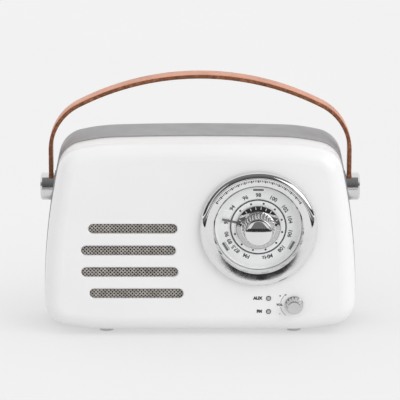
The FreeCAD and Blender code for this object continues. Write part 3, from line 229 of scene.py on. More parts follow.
def mesh_metal():
    paint = Paint("mesh_metal", Metallic=0.35)
    paint.colour(paint.noise(220, 4), [
        (0.3, (0.34, 0.315, 0.285)), (0.55, (0.50, 0.47, 0.435)), (0.75, (0.66, 0.63, 0.59)),
    ])
    paint.roughness(paint.noise(600, 4), 0.38, 0.58)
    paint.bump((paint.noise(2400, 3), 0.25, 0.05 * MM))
    return paint.material


def moulded(name, dark, light, smooth, dull, grain):
    """Moulded plastic or rubber: a tone, a gloss and a fine grain."""
    paint = Paint(name)
    paint.mottle(paint.noise(60, 4), dark, light)
    paint.roughness(paint.noise(180, 4), smooth, dull)
    paint.bump((paint.cells(1400), grain, 0.05 * MM), (paint.noise(900, 3), grain, 0.05 * MM))
    return paint.material


def ink(name, dark, light):
    """Printed ink, a little uneven where it thins."""
    paint = Paint(name)
    paint.colour(paint.noise(1500, 5), [(0.35, dark), (0.75, light)])
    paint.roughness(paint.noise(900, 3), 0.35, 0.55)
    paint.bump((paint.noise(2600, 2), 0.15, 0.02 * MM))
    return paint.material


def dial_white():
    paint = Paint("dial_white", Coat_Weight=0.2, Coat_Roughness=0.15)
    paint.mottle(paint.noise(70, 4), (0.88, 0.885, 0.89), (0.92, 0.925, 0.93))
    paint.roughness(paint.noise(500, 4), 0.34, 0.46)
    paint.bump((paint.noise(1400, 3), 0.06, 0.03 * MM))
    return paint.material


def clear_lens():
    """Clear acrylic, seen through, with a polished surface that takes reflections."""
    paint = Paint("clear_lens", Base_Color=(0.97, 0.98, 0.98, 1), IOR=1.49, Alpha=0.03)
    paint.roughness(paint.noise(90, 5, 0.7), 0.02, 0.06)
    paint.bump((paint.noise(130, 3), 0.015, 0.05 * MM))
    return paint.material


def lamp_tint():
    paint = Paint("lamp_tint", Coat_Weight=0.6, Coat_Roughness=0.05)
    paint.mottle(paint.noise(900, 4), grey(0.34), grey(0.46))
    paint.roughness(paint.noise(500, 3), 0.15, 0.28)
    paint.bump((paint.cells(1600), 0.3, 0.08 * MM))
    return paint.material


def board_green():
    paint = Paint("board_green", Coat_Weight=0.4, Coat_Roughness=0.2)
    paint.colour(paint.cells(160, "DISTANCE_TO_EDGE"), [
        (0.02, (0.05, 0.22, 0.08)), (0.05, (0.015, 0.10, 0.035)),
    ])
    paint.roughness(paint.noise(300, 3), 0.3, 0.45)
    paint.bump((paint.cells(160, "DISTANCE_TO_EDGE"), 0.3, 0.05 * MM))
    return paint.material


WHITE = white_plastic()
GREY = grey_plastic()
CHROME = chrome()
SATIN_METAL = chrome("satin_metal", 0.62, 0.16, 0.26)
SOFT_CHROME = chrome("soft_chrome", 0.68, 0.13, 0.22)
DARK_CHROME = chrome("dark_chrome", 0.52, 0.02, 0.06)
STEEL = steel()
IRON = steel("iron", 0.12)
FACE_LEATHER = leather_face()
EDGE_LEATHER = leather_edge()
MESH_METAL = mesh_metal()
DIAL_WHITE = dial_white()
LENS = clear_lens()
LAMP = lamp_tint()
BOARD = board_green()
MATT_BLACK = moulded("matt_black", grey(0.018), grey(0.035), 0.5, 0.68, 0.3)
RUBBER = moulded("rubber", grey(0.016), grey(0.034), 0.65, 0.85, 0.5)
FOOT_RUBBER = moulded("foot_rubber", grey(0.46), grey(0.54), 0.65, 0.85, 0.5)
PAPER = moulded("cone_paper", grey(0.02), grey(0.05), 0.75, 0.9, 0.8)
RED_SLEEVE = moulded("red_sleeve", (0.30, 0.01, 0.01), (0.40, 0.02, 0.02), 0.4, 0.55, 0.1)
CELL_WRAP = moulded("cell_wrap", (0.02, 0.08, 0.22), (0.03, 0.11, 0.28), 0.25, 0.35, 0.05)
BLACK_INK = ink("black_ink", grey(0.006), grey(0.03))
GREY_INK = ink("grey_ink", grey(0.09), grey(0.17))
WHITE_INK = ink("white_ink", grey(0.62), grey(0.78))

NODE_MATERIALS = {
    WHITE: ["front_shell"],
    GREY: ["rear_shell"],
    CHROME: [
        "dial_bezel", "aerial_base", "aerial_swivel", "aerial_mast_1",
        "aerial_mast_2", "aerial_mast_3", "aerial_mast_4",
    ],
    SOFT_CHROME: ["handle_lug_left", "handle_lug_right"],
    DARK_CHROME: ["tuning_knob_skirt"],
    STEEL: [
        "case_screws", "small_screws", "tuning_control", "tuning_nut", "tuning_bracket",
        "volume_control", "volume_nut", "charge_socket", "power_switch", "battery_contacts",
        "pivot_washers", "pivot_bolts", "tuning_shaft", "volume_shaft", "aerial_pin",
        "aerial_nut", "board_capacitors",
    ],
    IRON: ["speaker_magnet"],
    DIAL_WHITE: ["dial_plate", "dial_surround", "pointer_disc"],
    LENS: ["dial_lens", "indicator_leds"],
    LAMP: ["indicator_lenses"],
    MATT_BLACK: [
        "speaker_baffle", "speaker_basket", "board_chips", "aux_socket", "mode_switch",
        "battery_holder", "power_slider", "mode_button", "aerial_lead", "control_lead",
    ],
    RUBBER: ["speaker_gasket"],
    FOOT_RUBBER: ["feet"],
    PAPER: ["speaker_cone", "speaker_dust_cap"],
    RED_SLEEVE: ["speaker_lead", "battery_lead"],
    CELL_WRAP: ["battery_cells"],
    BOARD: ["main_board", "control_board"],
    GREY_INK: ["tuning_needle"],
}


def dress_nodes():
    for material, nodes in NODE_MATERIALS.items():
        for node in nodes:
            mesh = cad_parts[node].data
            mesh.materials.clear()
            mesh.materials.append(material)


# ------------------------------------------------------------ solids


class Solids:
    """Vertices and faces gathered into one mesh piece."""

    def __init__(self):
        self.points = []
        self.faces = []
        self.slots = []

    def add(self, points, faces, slot=0):
        start = len(self.points)
        self.points += [tuple(point) for point in points]
        self.faces += [tuple(start + index for index in face) for face in faces]
        self.slots += [slot] * len(faces)

    def skin(self, loops, closed=False):
        """Quads between loops of points, and from the last loop to the first if closed."""
        height, width = len(loops), len(loops[0])
        faces = []
        for i in range(height if closed else height - 1):
            for j in range(width):
                k, m = (i + 1) % height, (j + 1) % width
                faces.append((i * width + j, i * width + m, k * width + m, k * width + j))
        self.add([point for loop in loops for point in loop], faces)

    def tube(self, sections):
        """A solid through equal rings of points, closed at both ends."""
        count = len(sections[0])
        self.skin(sections)
        self.add(sections[0], [tuple(range(count))])
        self.add(sections[-1], [tuple(reversed(range(count)))])

    def piece(self, name, materials, body, smooth=40):
        mesh = bpy.data.meshes.new(name)
        mesh.from_pydata(self.points, [], self.faces)
        for material in materials:
            mesh.materials.append(material)
        mesh.polygons.foreach_set("material_index", self.slots)
        made = bpy.data.objects.new(name, mesh)
        scene.collection.objects.link(made)
        tidy_mesh(made)
        smooth_by_angle(mesh, smooth)
        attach(made, body)
        return made


def tidy_mesh(made):
    """Joins doubled points and turns every face outwards."""
    work = bmesh.new()
    work.from_mesh(made.data)
    bmesh.ops.remove_doubles(work, verts=work.verts, dist=1e-7)
    bmesh.ops.recalc_face_normals(work, faces=work.faces)
    work.to_mesh(made.data)
    work.free()


def smooth_by_angle(mesh, degrees):
    """Shades a mesh smooth, but keeps its edges sharper than an angle crisp."""
    work = bmesh.new()
    work.from_mesh(mesh)
    limit = math.radians(degrees)
    for face in work.faces:
        face.smooth = True
    for edge in work.edges:
        edge.smooth = len(edge.link_faces) == 2 and edge.calc_face_angle(0) < limit
    work.to_mesh(mesh)
    work.free()


def pointing(degrees):
    """The direction at an angle on the front, counterclockwise from the right."""
    angle = math.radians(degrees)
    return Vector((math.cos(angle), 0, math.sin(angle)))


def on_circle(centre, radius, degrees, depth):
    angle = math.radians(degrees)
    return Vector((
        centre.x + radius * math.cos(angle), depth, centre.z + radius * math.sin(angle)
    ))


def flat_band(solids, centre, inner, outer, start, end, depth, steps):
    """A thin printed band around a centre, standing on a plane that faces the front."""
    whole = abs(end - start) >= 360
    rows = []
    for step in range(steps if whole else steps + 1):
        degrees = start + (end - start) * step / steps
        rows.append([
            on_circle(centre, radius, degrees, y)
            for radius, y in (
                (inner, depth), (outer, depth), (outer, depth - PRINT), (inner, depth - PRINT)
            )
        ])
    solids.skin(rows, closed=whole)
    if not whole:
        solids.add(rows[0], [(0, 1, 2, 3)])
        solids.add(rows[-1], [(3, 2, 1, 0)])


def flat_dot(solids, heart, radius, depth, steps):
    """A printed dot: a band round a pinhole too small to see."""
    flat_band(solids, heart, 0.02 * MM, radius, 0, 360, depth, steps)


def flat_mark(solids, centre, degrees, radius, length, width, depth):
    """A thin bar at a radius, its length along the radius and its width across it."""
    radial = pointing(degrees)
    across = Vector((-radial.z, 0, radial.x))
    heart = on_circle(centre, radius, degrees, depth)
    corners = [
        heart + radial * (length / 2 * a) + across * (width / 2 * b)
        for a, b in ((-1, -1), (1, -1), (1, 1), (-1, 1))
    ]
    printed(solids, corners)


def printed(solids, corners):
    """A flat print over an outline, standing off it to the front."""
    solids.tube([corners, [corner - Vector((0, PRINT, 0)) for corner in corners]])


def text_shape(words, height, weight):
    """Points and faces of a short printed text, centred on its own origin."""
    curve = bpy.data.curves.new("words", "FONT")
    curve.body = words
    curve.size = height * SIZE_PER_CAPITAL
    curve.align_x = "CENTER"
    curve.align_y = "CENTER"
    curve.resolution_u = 3
    curve.offset = weight * height
    curve.extrude = PRINT / 2
    holder = bpy.data.objects.new("words", curve)
    scene.collection.objects.link(holder)
    bpy.context.view_layer.update()
    mesh = bpy.data.meshes.new_from_object(holder)
    points = [vertex.co.copy() for vertex in mesh.vertices]
    faces = [tuple(face.vertices) for face in mesh.polygons]
    bpy.data.objects.remove(holder)
    bpy.data.curves.remove(curve)
    bpy.data.meshes.remove(mesh)
    return points, faces


def print_text(solids, words, height, heart, degrees=90.0, weight=0.045):
    """Text that faces the front, its top turned to point along an angle."""
    up = pointing(degrees)
    right = Vector((up.z, 0, -up.x))
    out = Vector((0, -1, 0))
    points, faces = text_shape(words, height, weight)
    placed = [heart + right * p.x + up * p.y + out * (p.z + PRINT / 2) for p in points]
    solids.add(placed, faces)


# ------------------------------------------------------------ loudspeaker mesh

MESH_SPACING = 2.02 * MM
MESH_WIRE = 0.44 * MM
MESH_WIRE_DEPTH = 0.20 * MM
MESH_WAVE = 0.17 * MM
WIRE_SIDES = 6


def woven_mesh():
    """Flattened wires woven on the diagonal, cut to the mesh's rectangle."""
    corner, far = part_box("speaker_mesh")
    centre = (corner + far) / 2
    half_x, half_z = (far.x - corner.x) / 2, (far.z - corner.z) / 2
    solids = Solids()
    reach = int((half_x + half_z) / math.sqrt(2) / MESH_SPACING)
    for direction in (1, -1):
        along = Vector((1, 0, direction)) / math.sqrt(2)
        across = Vector((-direction, 0, 1)) / math.sqrt(2)
        for line in range(-reach, reach + 1):
            start = across * (line * MESH_SPACING)
            spans = []
            for half, heading, offset in (
                (half_x, along.x, start.x), (half_z, along.z, start.z)
            ):
                ends = ((-half - offset) / heading, (half - offset) / heading)
                spans.append((min(ends), max(ends)))
            first, last = max(s[0] for s in spans), min(s[1] for s in spans)
            if last - first < 2 * MESH_SPACING:
                continue
            woven_wire(solids, centre + start, along, across, first, last, line, direction)
    made = solids.piece("speaker_mesh_wires", [MESH_METAL], "casing", 80)
    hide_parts("speaker_mesh")


def woven_wire(solids, origin, along, across, first, last, line, direction):
    steps = max(2, round((last - first) / (MESH_SPACING / 2)))
    sections = []
    for step in range(steps + 1):
        travel = first + (last - first) * step / steps
        phase = math.pi * (travel / MESH_SPACING + line + (0.5 if direction > 0 else -0.5))
        heart = origin + along * travel + Vector((0, MESH_WAVE * math.sin(phase), 0))
        ring = []
        for corner in range(WIRE_SIDES):
            angle = 2 * math.pi * (corner + 0.5) / WIRE_SIDES
            ring.append(
                heart + across * (MESH_WIRE * math.cos(angle))
                + Vector((0, MESH_WIRE_DEPTH * math.sin(angle), 0))
            )
        sections.append(ring)
    solids.tube(sections)


# ------------------------------------------------------------ dial print

# What is printed on the dial plate and the angle it stands at, counterclockwise from the right.
DIAL_SCALE = [
    ("98", 90.0), ("96", 113.6), ("94", 143.3), ("92", 170.6), ("90", 194.0), ("89", 208.0),
    ("87.5", 225.6), ("FM", 248.5), ("MHz", 286.8), ("108", 315.8), ("106", 347.7),
    ("104", 13.3), ("102", 35.2), ("100", 62.6),
]
SCALE_RADIUS = 25.2 * MM
FIGURE_HEIGHT = 3.1 * MM
INDEX_RADIUS = 29.5 * MM
BLOCK_ANGLES = (212, 330)
BLOCK_RADIUS = 30.3 * MM
BLOCK_LINE_RADIUS = 28.6 * MM
BLOCK_WIDTH = 7.4 * MM


def dial_print():
    """The scale's figures and top bar, and the grey blocks at its two ends."""
    figures = Solids()
    for words, degrees in DIAL_SCALE:
        heart = on_circle(DIAL, SCALE_RADIUS, degrees, PLATE_Y)
        print_text(figures, words, FIGURE_HEIGHT, heart, degrees)
    flat_mark(figures, DIAL, 90, INDEX_RADIUS, 1.3 * MM, 8.2 * MM, PLATE_Y)
    figures.piece("dial_figures", [BLACK_INK], "casing", 30)
    blocks = Solids()
    for degrees in BLOCK_ANGLES:
        flat_mark(blocks, DIAL, degrees, BLOCK_RADIUS, 1.9 * MM, BLOCK_WIDTH, PLATE_Y)
        flat_mark(blocks, DIAL, degrees, BLOCK_LINE_RADIUS, 0.4 * MM, BLOCK_WIDTH, PLATE_Y)
    blocks.piece("dial_blocks", [GREY_INK], "casing", 30)


DOTS = 12
DOT_CIRCLE = 19.1 * MM
FIRST_DOT = 17.5


def disc_print():
    """The black rim of the turning disc and the dots inside it."""
    marks = Solids()
    rim_inner, rim_outer = DISC_RADIUS - 1.25 * MM, DISC_RADIUS - 0.1 * MM
    flat_band(marks, DIAL, rim_inner, rim_outer, 0, 360, DISC_Y, steps=120)
    for dot in range(DOTS):
        heart = on_circle(DIAL, DOT_CIRCLE, FIRST_DOT + 360 / DOTS * dot, DISC_Y)
        flat_dot(marks, heart, 0.85 * MM, DISC_Y, steps=16)
    marks.piece("disc_marks", [BLACK_INK], "tuning_knob", 30)


RING_RADIUS = 39.6 * MM
RING_Y = FACE_Y - 5.9 * MM
RING_TICKS = 57
RING_START = 34
LONG_TICK = (2.9 * MM, 1.0 * MM)
SHORT_TICK = (2.0 * MM, 0.62 * MM)


def ring_ticks():
    """Fine printed ticks, two degrees apart, over the upper part of the bezel's inner ring."""
    ticks = Solids()
    for step in range(RING_TICKS):
        length, width = SHORT_TICK if step % 4 else LONG_TICK
        flat_mark(ticks, DIAL, RING_START + 2 * step, RING_RADIUS, length, width, RING_Y)
    ticks.piece("ring_ticks", [BLACK_INK], "casing", 30)


# ------------------------------------------------------------ knobs


def turned_piece(name, node, rows, material, body, smooth):
    """A closed solid through rings of points, put in place of a CAD node."""
    solids = Solids()
    solids.tube(rows)
    made = solids.piece(name, [material], body, smooth)
    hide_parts(node)


POINTS_PER_RIB = 8
RIB_FULLNESS = 0.6


def fluted_knob(name, node, profile, ribs, depth, material, body):
    """A turned knob whose side is cut with rounded flutes.

    The profile's (radius, height, flute) run forward from the knob's back; flute is how much
    of the full depth the flutes have there."""
    corner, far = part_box(node)
    centre = (corner + far) / 2
    around = ribs * POINTS_PER_RIB
    rows = []
    for radius, height, flute in profile:
        row = []
        for step in range(around):
            wave = 0.5 - 0.5 * math.cos(2 * math.pi * ribs * step / around)
            cut = depth * flute * (1 - wave ** RIB_FULLNESS)
            row.append(on_circle(centre, radius - cut, 360 * step / around, far.y - height))
        rows.append(row)
    turned_piece(name, node, rows, material, body, 32)


SKIRT_SLOPE = math.radians(14)
SKIRT_INNER = 12.6 * MM
SKIRT_CHAMFER = 0.3 * MM
SKIRT_STEPS = 144
SKIRT_TICKS = 24


def skirt_depth(radius):
    """How far forward the polished cone under the tuning knob stands at a radius."""
    return low("tuning_knob_skirt").y + (radius - SKIRT_INNER) * math.tan(SKIRT_SLOPE)


def tuning_skirt():
    """A shallow polished cone, with white ticks round it."""
    corner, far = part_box("tuning_knob_skirt")
    edge = (far.x - corner.x) / 2
    shoulder = edge - SKIRT_CHAMFER
    front = skirt_depth(shoulder)
    rows = []
    for radius, depth in (
        (SKIRT_INNER, far.y), (shoulder, far.y), (edge, far.y - SKIRT_CHAMFER),
        (edge, front + SKIRT_CHAMFER), (shoulder, front), (SKIRT_INNER, skirt_depth(SKIRT_INNER)),
    ):
        rows.append([
            on_circle(DIAL, radius, 360 * step / SKIRT_STEPS, depth) for step in range(SKIRT_STEPS)
        ])
    turned_piece("tuning_skirt_cone", "tuning_knob_skirt", rows, DARK_CHROME, "tuning_knob",
                 20)
    ticks = Solids()
    for step in range(SKIRT_TICKS):
        skirt_tick(ticks, 360 / SKIRT_TICKS * (step + 0.5))
    ticks.piece("skirt_ticks", [WHITE_INK], "tuning_knob", 30)


def skirt_tick(solids, degrees):
    """A white bar lying on the cone."""
    inner, outer, half_width = 14.6 * MM, 16.6 * MM, 0.26 * MM
    radial = pointing(degrees)
    across = Vector((-radial.z, 0, radial.x))
    corners = [
        on_circle(DIAL, radius, degrees, skirt_depth(radius)) + across * (half_width * side)
        for radius, side in ((inner, -1), (outer, -1), (outer, 1), (inner, 1))
    ]
    printed(solids, corners)


FACE_DOME = 100 * MM
DOME_RINGS = 9


def domed(edge, height, radius):
    """A shallow dome over a knob's face, as (radius, height, flute)."""
    rings = []
    for step in range(DOME_RINGS):
        reach = edge * (1 - step / (DOME_RINGS - 0.5))
        rings.append((reach, height - radius + math.sqrt(radius ** 2 - reach ** 2), 0))
    return rings


def tuning_cap():
    corner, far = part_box("tuning_knob_cap")
    length = far.y - corner.y
    base = (far.x - corner.x) / 2
    face = 10.4 * MM
    profile = [
        (base - 0.4 * MM, 0.0, 0), (base, 0.2 * MM, 0), (base, 0.5 * MM, 0),
        (base - 0.7 * MM, 0.9 * MM, 0), (base - 0.8 * MM, 1.4 * MM, 1),
        (face + 0.9 * MM, length - 2.0 * MM, 1), (face + 0.5 * MM, length - 1.4 * MM, 0.5),
        (face + 0.1 * MM, length - 0.9 * MM, 0), (face - 0.3 * MM, length - 0.6 * MM, 0),
    ] + domed(face - 0.6 * MM, length, FACE_DOME)
    fluted_knob("tuning_knob_ribbed", "tuning_knob_cap", profile, 30, 0.9 * MM, CHROME,
                "tuning_knob")


def volume_cap():
    corner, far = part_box("volume_knob")
    length = far.y - corner.y
    base = (far.x - corner.x) / 2
    face = 4.9 * MM
    profile = [
        (base - 0.4 * MM, 0.0, 0), (base, 0.3 * MM, 0), (base, 1.1 * MM, 0),
        (base - 0.5 * MM, 1.6 * MM, 0.2), (base - 0.7 * MM, 2.1 * MM, 1),
        (face + 0.9 * MM, length - 1.3 * MM, 1), (face + 0.4 * MM, length - 0.6 * MM, 0.4),
        (face, length - 0.15 * MM, 0), (face - 0.5 * MM, length, 0), (face - 1.0 * MM, length, 0),
    ]
    fluted_knob("volume_knob_ribbed", "volume_knob", profile, 16, 0.6 * MM, SATIN_METAL,
                "volume_knob")


# ------------------------------------------------------------ front panel print

ARC_INNER = 10.5 * MM
ARC_OUTER = 10.8 * MM
ARC_SPANS = ((131, 171), (189, 233))

# What is printed round the volume knob, the angle it stands at and its distance.
VOLUME_WORDS = (("+", 147, 13.1 * MM), ("VOL", 180, 11.4 * MM), ("-", 212.5, 13.3 * MM))
VOLUME_WORD_HEIGHT = 1.8 * MM
LAMP_WORD_HEIGHT = 2.35 * MM
LAMP_RADIUS = 1.9 * MM


def front_print():
    """The volume knob's arc and words, and the words and rings beside the two lamps."""
    marks = Solids()
    heart = Vector((VOLUME.x, FACE_Y, VOLUME.z))
    for start, end in ARC_SPANS:
        flat_band(marks, heart, ARC_INNER, ARC_OUTER, start, end, FACE_Y, steps=16)
    flat_dot(marks, on_circle(heart, 10.4 * MM, 129, FACE_Y), 0.6 * MM, FACE_Y, steps=14)
    for words, degrees, radius in VOLUME_WORDS:
        place = on_circle(heart, radius, degrees, FACE_Y)
        print_text(marks, words, VOLUME_WORD_HEIGHT, place, weight=0.08)
    corner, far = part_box("indicator_lenses")
    flange = (far.x - corner.x) / 2
    for words, z, offset in (("AUX", far.z - flange, 8.5 * MM), ("FM", corner.z + flange, 7.2 * MM)):
        lamp = Vector((corner.x + flange, FACE_Y, z))
        flat_band(marks, lamp, LAMP_RADIUS - 0.5 * MM, LAMP_RADIUS, 0, 360, corner.y, steps=48)
        print_text(marks, words, LAMP_WORD_HEIGHT, lamp - Vector((offset, 0, 0)), weight=0.11)
    marks.piece("front_marks", [BLACK_INK], "casing", 30)


# ------------------------------------------------------------ strap

STRAP_ARCH = 206 * MM
STRAP_BEND = 39 * MM
STRAP_THICK = 3.2 * MM
TONGUE_HALF = 6.5 * MM
TONGUE_TOP = 121 * MM
TONGUE_FLARE = 6 * MM
ARCH_STEPS = 40
BEND_STEPS = 24
LEG_STEPS = 14


def strap_line():
    """Points and outward directions along the strap's inner side, from left foot to right."""
    corner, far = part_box("handle_strap")
    inner = far.x - STRAP_THICK
    top = far.z - STRAP_THICK
    turn = math.asin((inner - STRAP_BEND) / (STRAP_ARCH - STRAP_BEND))
    arch = Vector((0, 0, top - STRAP_ARCH))
    bend = arch + Vector((math.sin(turn), 0, math.cos(turn))) * (STRAP_ARCH - STRAP_BEND)
    half = []
    for step in range(ARCH_STEPS + 1):
        angle = turn * step / ARCH_STEPS
        out = Vector((math.sin(angle), 0, math.cos(angle)))
        half.append((arch + out * STRAP_ARCH, out))
    for step in range(1, BEND_STEPS + 1):
        angle = turn + (math.pi / 2 - turn) * step / BEND_STEPS
        out = Vector((math.sin(angle), 0, math.cos(angle)))
        half.append((bend + out * STRAP_BEND, out))
    for step in range(1, LEG_STEPS + 1):
        z = bend.z + (corner.z - bend.z) * step / LEG_STEPS
        half.append((Vector((inner, 0, z)), Vector((1, 0, 0))))
    mirror = Matrix.Diagonal((-1, 1, 1))
    left = [(mirror @ point, mirror @ out) for point, out in reversed(half[1:])]
    return left + half


def strap():
    """The leather band: a crowned face and back, creased beside its raw, rounded edges."""
    corner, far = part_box("handle_strap")
    centre_y = (corner.y + far.y) / 2
    rows = []
    for point, out in strap_line():
        outline = strap_section(strap_half_width(point.z, (far.y - corner.y) / 2), STRAP_THICK)
        rows.append([
            Vector((point.x, centre_y + across, point.z)) + out * lift for across, lift, _ in outline
        ])
    solids = Solids()
    count = len(outline)
    for i in range(len(rows) - 1):
        for j in range(count):
            k = (j + 1) % count
            edge = outline[j][2] and outline[k][2]
            solids.add(
                [rows[i][j], rows[i][k], rows[i + 1][k], rows[i + 1][j]], [(0, 1, 2, 3)],
                1 if edge else 0,
            )
    solids.add(rows[0], [tuple(range(count))], 1)
    solids.add(rows[-1], [tuple(range(count))], 1)
    made = solids.piece("strap_leather", [FACE_LEATHER, EDGE_LEATHER], "handle", 60)
    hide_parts("handle_strap")


def strap_half_width(level, full):
    """The band narrows smoothly to a tongue where it enters its lugs."""
    share = min(1, max(0, (level - TONGUE_TOP) / TONGUE_FLARE))
    return TONGUE_HALF + (full - TONGUE_HALF) * share * share * (3 - 2 * share)


def strap_section(half, thick):
    """(across, lift, is raw edge) around the band's section."""
    crown = 0.12 * MM
    inset = 0.45 * MM
    crease = 1.5 * MM
    crease_half = 0.35 * MM
    dip = 0.22 * MM
    rounding = 0.12 * MM
    section = []

    def side(level, sign, direction):
        offsets = [
            (-half + inset, 0, True), (-half + inset * 1.6, 0, False),
            (-half + crease - crease_half, 0, False), (-half + crease, dip, False),
            (-half + crease + crease_half, 0, False), (-half * 0.4, 0, False), (0, 0, False),
            (half * 0.4, 0, False), (half - crease - crease_half, 0, False),
            (half - crease, dip, False), (half - crease + crease_half, 0, False),
            (half - inset * 1.6, 0, False), (half - inset, 0, True),
        ]
        if direction < 0:
            offsets.reverse()
        for across, sink, raw in offsets:
            bow = crown * (across / half) ** 2
            section.append((across, level - sign * (sink + bow), raw))

    side(thick, 1, 1)
    section.append((half - rounding, thick * 0.84, True))
    section.append((half, thick * 0.5, True))
    section.append((half - rounding, thick * 0.16, True))
    side(0.0, -1, -1)
    section.append((-half + rounding, thick * 0.16, True))
    section.append((-half, thick * 0.5, True))
    section.append((-half + rounding, thick * 0.84, True))
    return section


# ------------------------------------------------------------ studio


def flat_card(name, size_x, size_y, material):
    mesh = bpy.data.meshes.new(name)
    x, y = size_x / 2, size_y / 2
    mesh.from_pydata([(-x, -y, 0), (x, -y, 0), (x, y, 0), (-x, y, 0)], [], [(0, 1, 2, 3)])
    mesh.materials.append(material)
    card = bpy.data.objects.new(name, mesh)
    scene.collection.objects.link(card)
    return card


FLOOR_SIZE = 14
CARD_LIFT = 1 * MM
STRIP_WIDTH = 6
TABLE_EDGE_Y = -0.402
STRIP_END_Y = -0.52
BEYOND_HALF = 0.07
BEYOND_END = 3
BEYOND_X = 1.3 * DIAL.x
GLOW_END = 0.20
ROOM_RADIUS = 2.2
ROOM_LOW = 0.13


def studio():
    """A white table in a dark room with tall bright panels, as polished metal sees it.

    The panels are seen only in reflections: the floor and the light stay even."""
    paint = Paint(
        "studio_floor", Specular_IOR_Level=0.0, Emission_Color=(1, 1, 1, 1), Emission_Strength=0.43
    )
    paint.mottle(paint.noise(3, 2), grey(0.415), grey(0.425))
    paint.roughness(paint.noise(40, 3), 0.6, 0.7)
    paint.bump((paint.noise(200, 2), 0.02, 0.1 * MM))
    floor = flat_card("studio_floor", FLOOR_SIZE, FLOOR_SIZE, paint.material)
    strip_tone = unlit("strip_tone", 0.03, 0.03)
    strip = flat_card("table_edge", STRIP_WIDTH, TABLE_EDGE_Y - STRIP_END_Y, strip_tone)
    strip.location = (0, (TABLE_EDGE_Y + STRIP_END_Y) / 2, CARD_LIFT)
    tone = unlit("beyond_tone", 0.19, 0.19)
    beyond = []
    for name, start, end in (
        ("middle", -BEYOND_HALF, BEYOND_HALF), ("right", GLOW_END, BEYOND_END),
        ("left", -BEYOND_END, -GLOW_END),
    ):
        card = flat_card("beyond_" + name, end - start, STRIP_END_Y + ROOM_RADIUS, tone)
        centre_y = (STRIP_END_Y - ROOM_RADIUS) / 2
        card.location = (BEYOND_X + (start + end) / 2, centre_y, CARD_LIFT)
        beyond.append(card)
    room = arched_panel("room", (-100, 100), (3.4, 90), ROOM_RADIUS, unlit("room_tone", 0.035, 0.22))
    right = arched_panel("right_panel", (24, 84), (10, 46), 2.1, unlit("right_tone", 1.5, 1.5))
    left = arched_panel("left_panel", (-47, -32), (4, 36), 2.1, unlit("left_tone", 0.8, 0.8))
    for card in (strip, *beyond, room, right, left):
        card.visible_camera = False
        card.visible_diffuse = False
        card.visible_shadow = False
        card.visible_transmission = False
    world = bpy.data.worlds.new("studio_air")
    world.use_nodes = True
    air = world.node_tree.nodes["Background"]
    air.inputs["Color"].default_value = (1, 1, 1, 1)
    air.inputs["Strength"].default_value = 0.99
    scene.world = world
    sun("key", (0.56, -0.40, 0.80), 40, 0.42)
    side_light(floor)


def unlit(name, low_light, high_light):
    """Grey that gives off its own light, from the foot of the room to its top."""
    material = bpy.data.materials.new(name)
    material.use_nodes = True
    tree = material.node_tree
    tree.nodes.clear()
    output = tree.nodes.new("ShaderNodeOutputMaterial")
    glow = tree.nodes.new("ShaderNodeEmission")
    place = tree.nodes.new("ShaderNodeTexCoord")
    split = tree.nodes.new("ShaderNodeSeparateXYZ")
    level = tree.nodes.new("ShaderNodeMapRange")
    for socket, amount in (
        ("From Min", ROOM_LOW), ("From Max", ROOM_RADIUS), ("To Min", low_light), ("To Max", high_light)
    ):
        level.inputs[socket].default_value = amount
    tree.links.new(place.outputs["Object"], split.inputs["Vector"])
    tree.links.new(split.outputs["Z"], level.inputs["Value"])
    tree.links.new(level.outputs["Result"], glow.inputs["Strength"])
    tree.links.new(glow.outputs["Emission"], output.inputs["Surface"])
    return material


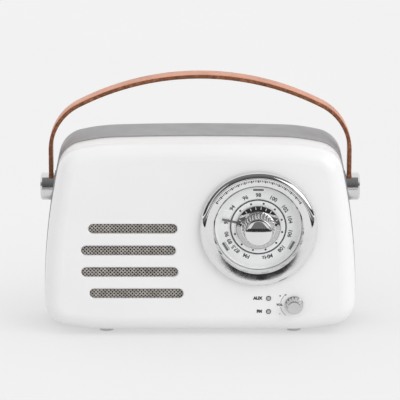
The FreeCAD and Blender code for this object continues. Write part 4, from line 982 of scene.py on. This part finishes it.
def arched_panel(name, azimuths, elevations, radius, material):
    """Part of a dome around the radio, between two bearings from the front and two heights."""
    across, up = 40, 16
    points, faces = [], []
    for i in range(across + 1):
        bearing = math.radians(azimuths[0] + (azimuths[1] - azimuths[0]) * i / across)
        for j in range(up + 1):
            rise = math.radians(elevations[0] + (elevations[1] - elevations[0]) * j / up)
            level = radius * math.cos(rise)
            ahead = -level * math.cos(bearing)
            points.append((level * math.sin(bearing), ahead, radius * math.sin(rise)))
    for i in range(across):
        for j in range(up):
            k = i * (up + 1) + j
            faces.append((k, k + up + 1, k + up + 2, k + 1))
    mesh = bpy.data.meshes.new(name)
    mesh.from_pydata(points, [], faces)
    mesh.materials.append(material)
    panel = bpy.data.objects.new(name, mesh)
    scene.collection.objects.link(panel)
    return panel


def side_light(floor):
    """A soft light from the right that falls on the radio and leaves the floor even."""
    light = bpy.data.lights.new("side", "AREA")
    light.size = 0.8
    light.energy = 3.6
    lamp = bpy.data.objects.new("side", light)
    lamp.location = (1.0, -0.9, 0.55)
    aim = Vector((0.1, 0, 0.08)) - lamp.location
    lamp.rotation_euler = aim.to_track_quat("-Z", "Y").to_euler()
    lamp.visible_glossy = False
    scene.collection.objects.link(lamp)
    lit = bpy.data.collections.new("not_lit_from_the_side")
    lit.objects.link(floor)
    lamp.light_linking.receiver_collection = lit
    lit.collection_objects[0].light_linking.link_state = "EXCLUDE"


def sun(name, comes_from, softness, watts):
    light = bpy.data.lights.new(name, "SUN")
    light.angle = math.radians(softness)
    light.energy = watts
    lamp = bpy.data.objects.new(name, light)
    lamp.rotation_euler = (-Vector(comes_from)).to_track_quat("-Z", "Y").to_euler()
    scene.collection.objects.link(lamp)


CAMERA_AIM = Vector((-0.1 * MM, 2.6 * MM, 100.4 * MM))
CAMERA_TILT = math.radians(14)
CAMERA_DISTANCE = 2.6


def camera():
    """Straight in front, looking down at the middle of the radio."""
    data = bpy.data.cameras.new("camera")
    data.sensor_width = 36
    data.lens = 296.2
    eye = bpy.data.objects.new("camera", data)
    back = Vector((0, -math.cos(CAMERA_TILT), math.sin(CAMERA_TILT)))
    eye.location = CAMERA_AIM + back * CAMERA_DISTANCE
    eye.rotation_euler = (-back).to_track_quat("-Z", "Y").to_euler()
    scene.collection.objects.link(eye)
    scene.camera = eye


# ------------------------------------------------------------ making it

dress_nodes()
camera()
studio()
woven_mesh()
dial_print()
disc_print()
ring_ticks()
tuning_skirt()
tuning_cap()
volume_cap()
front_print()
strap()
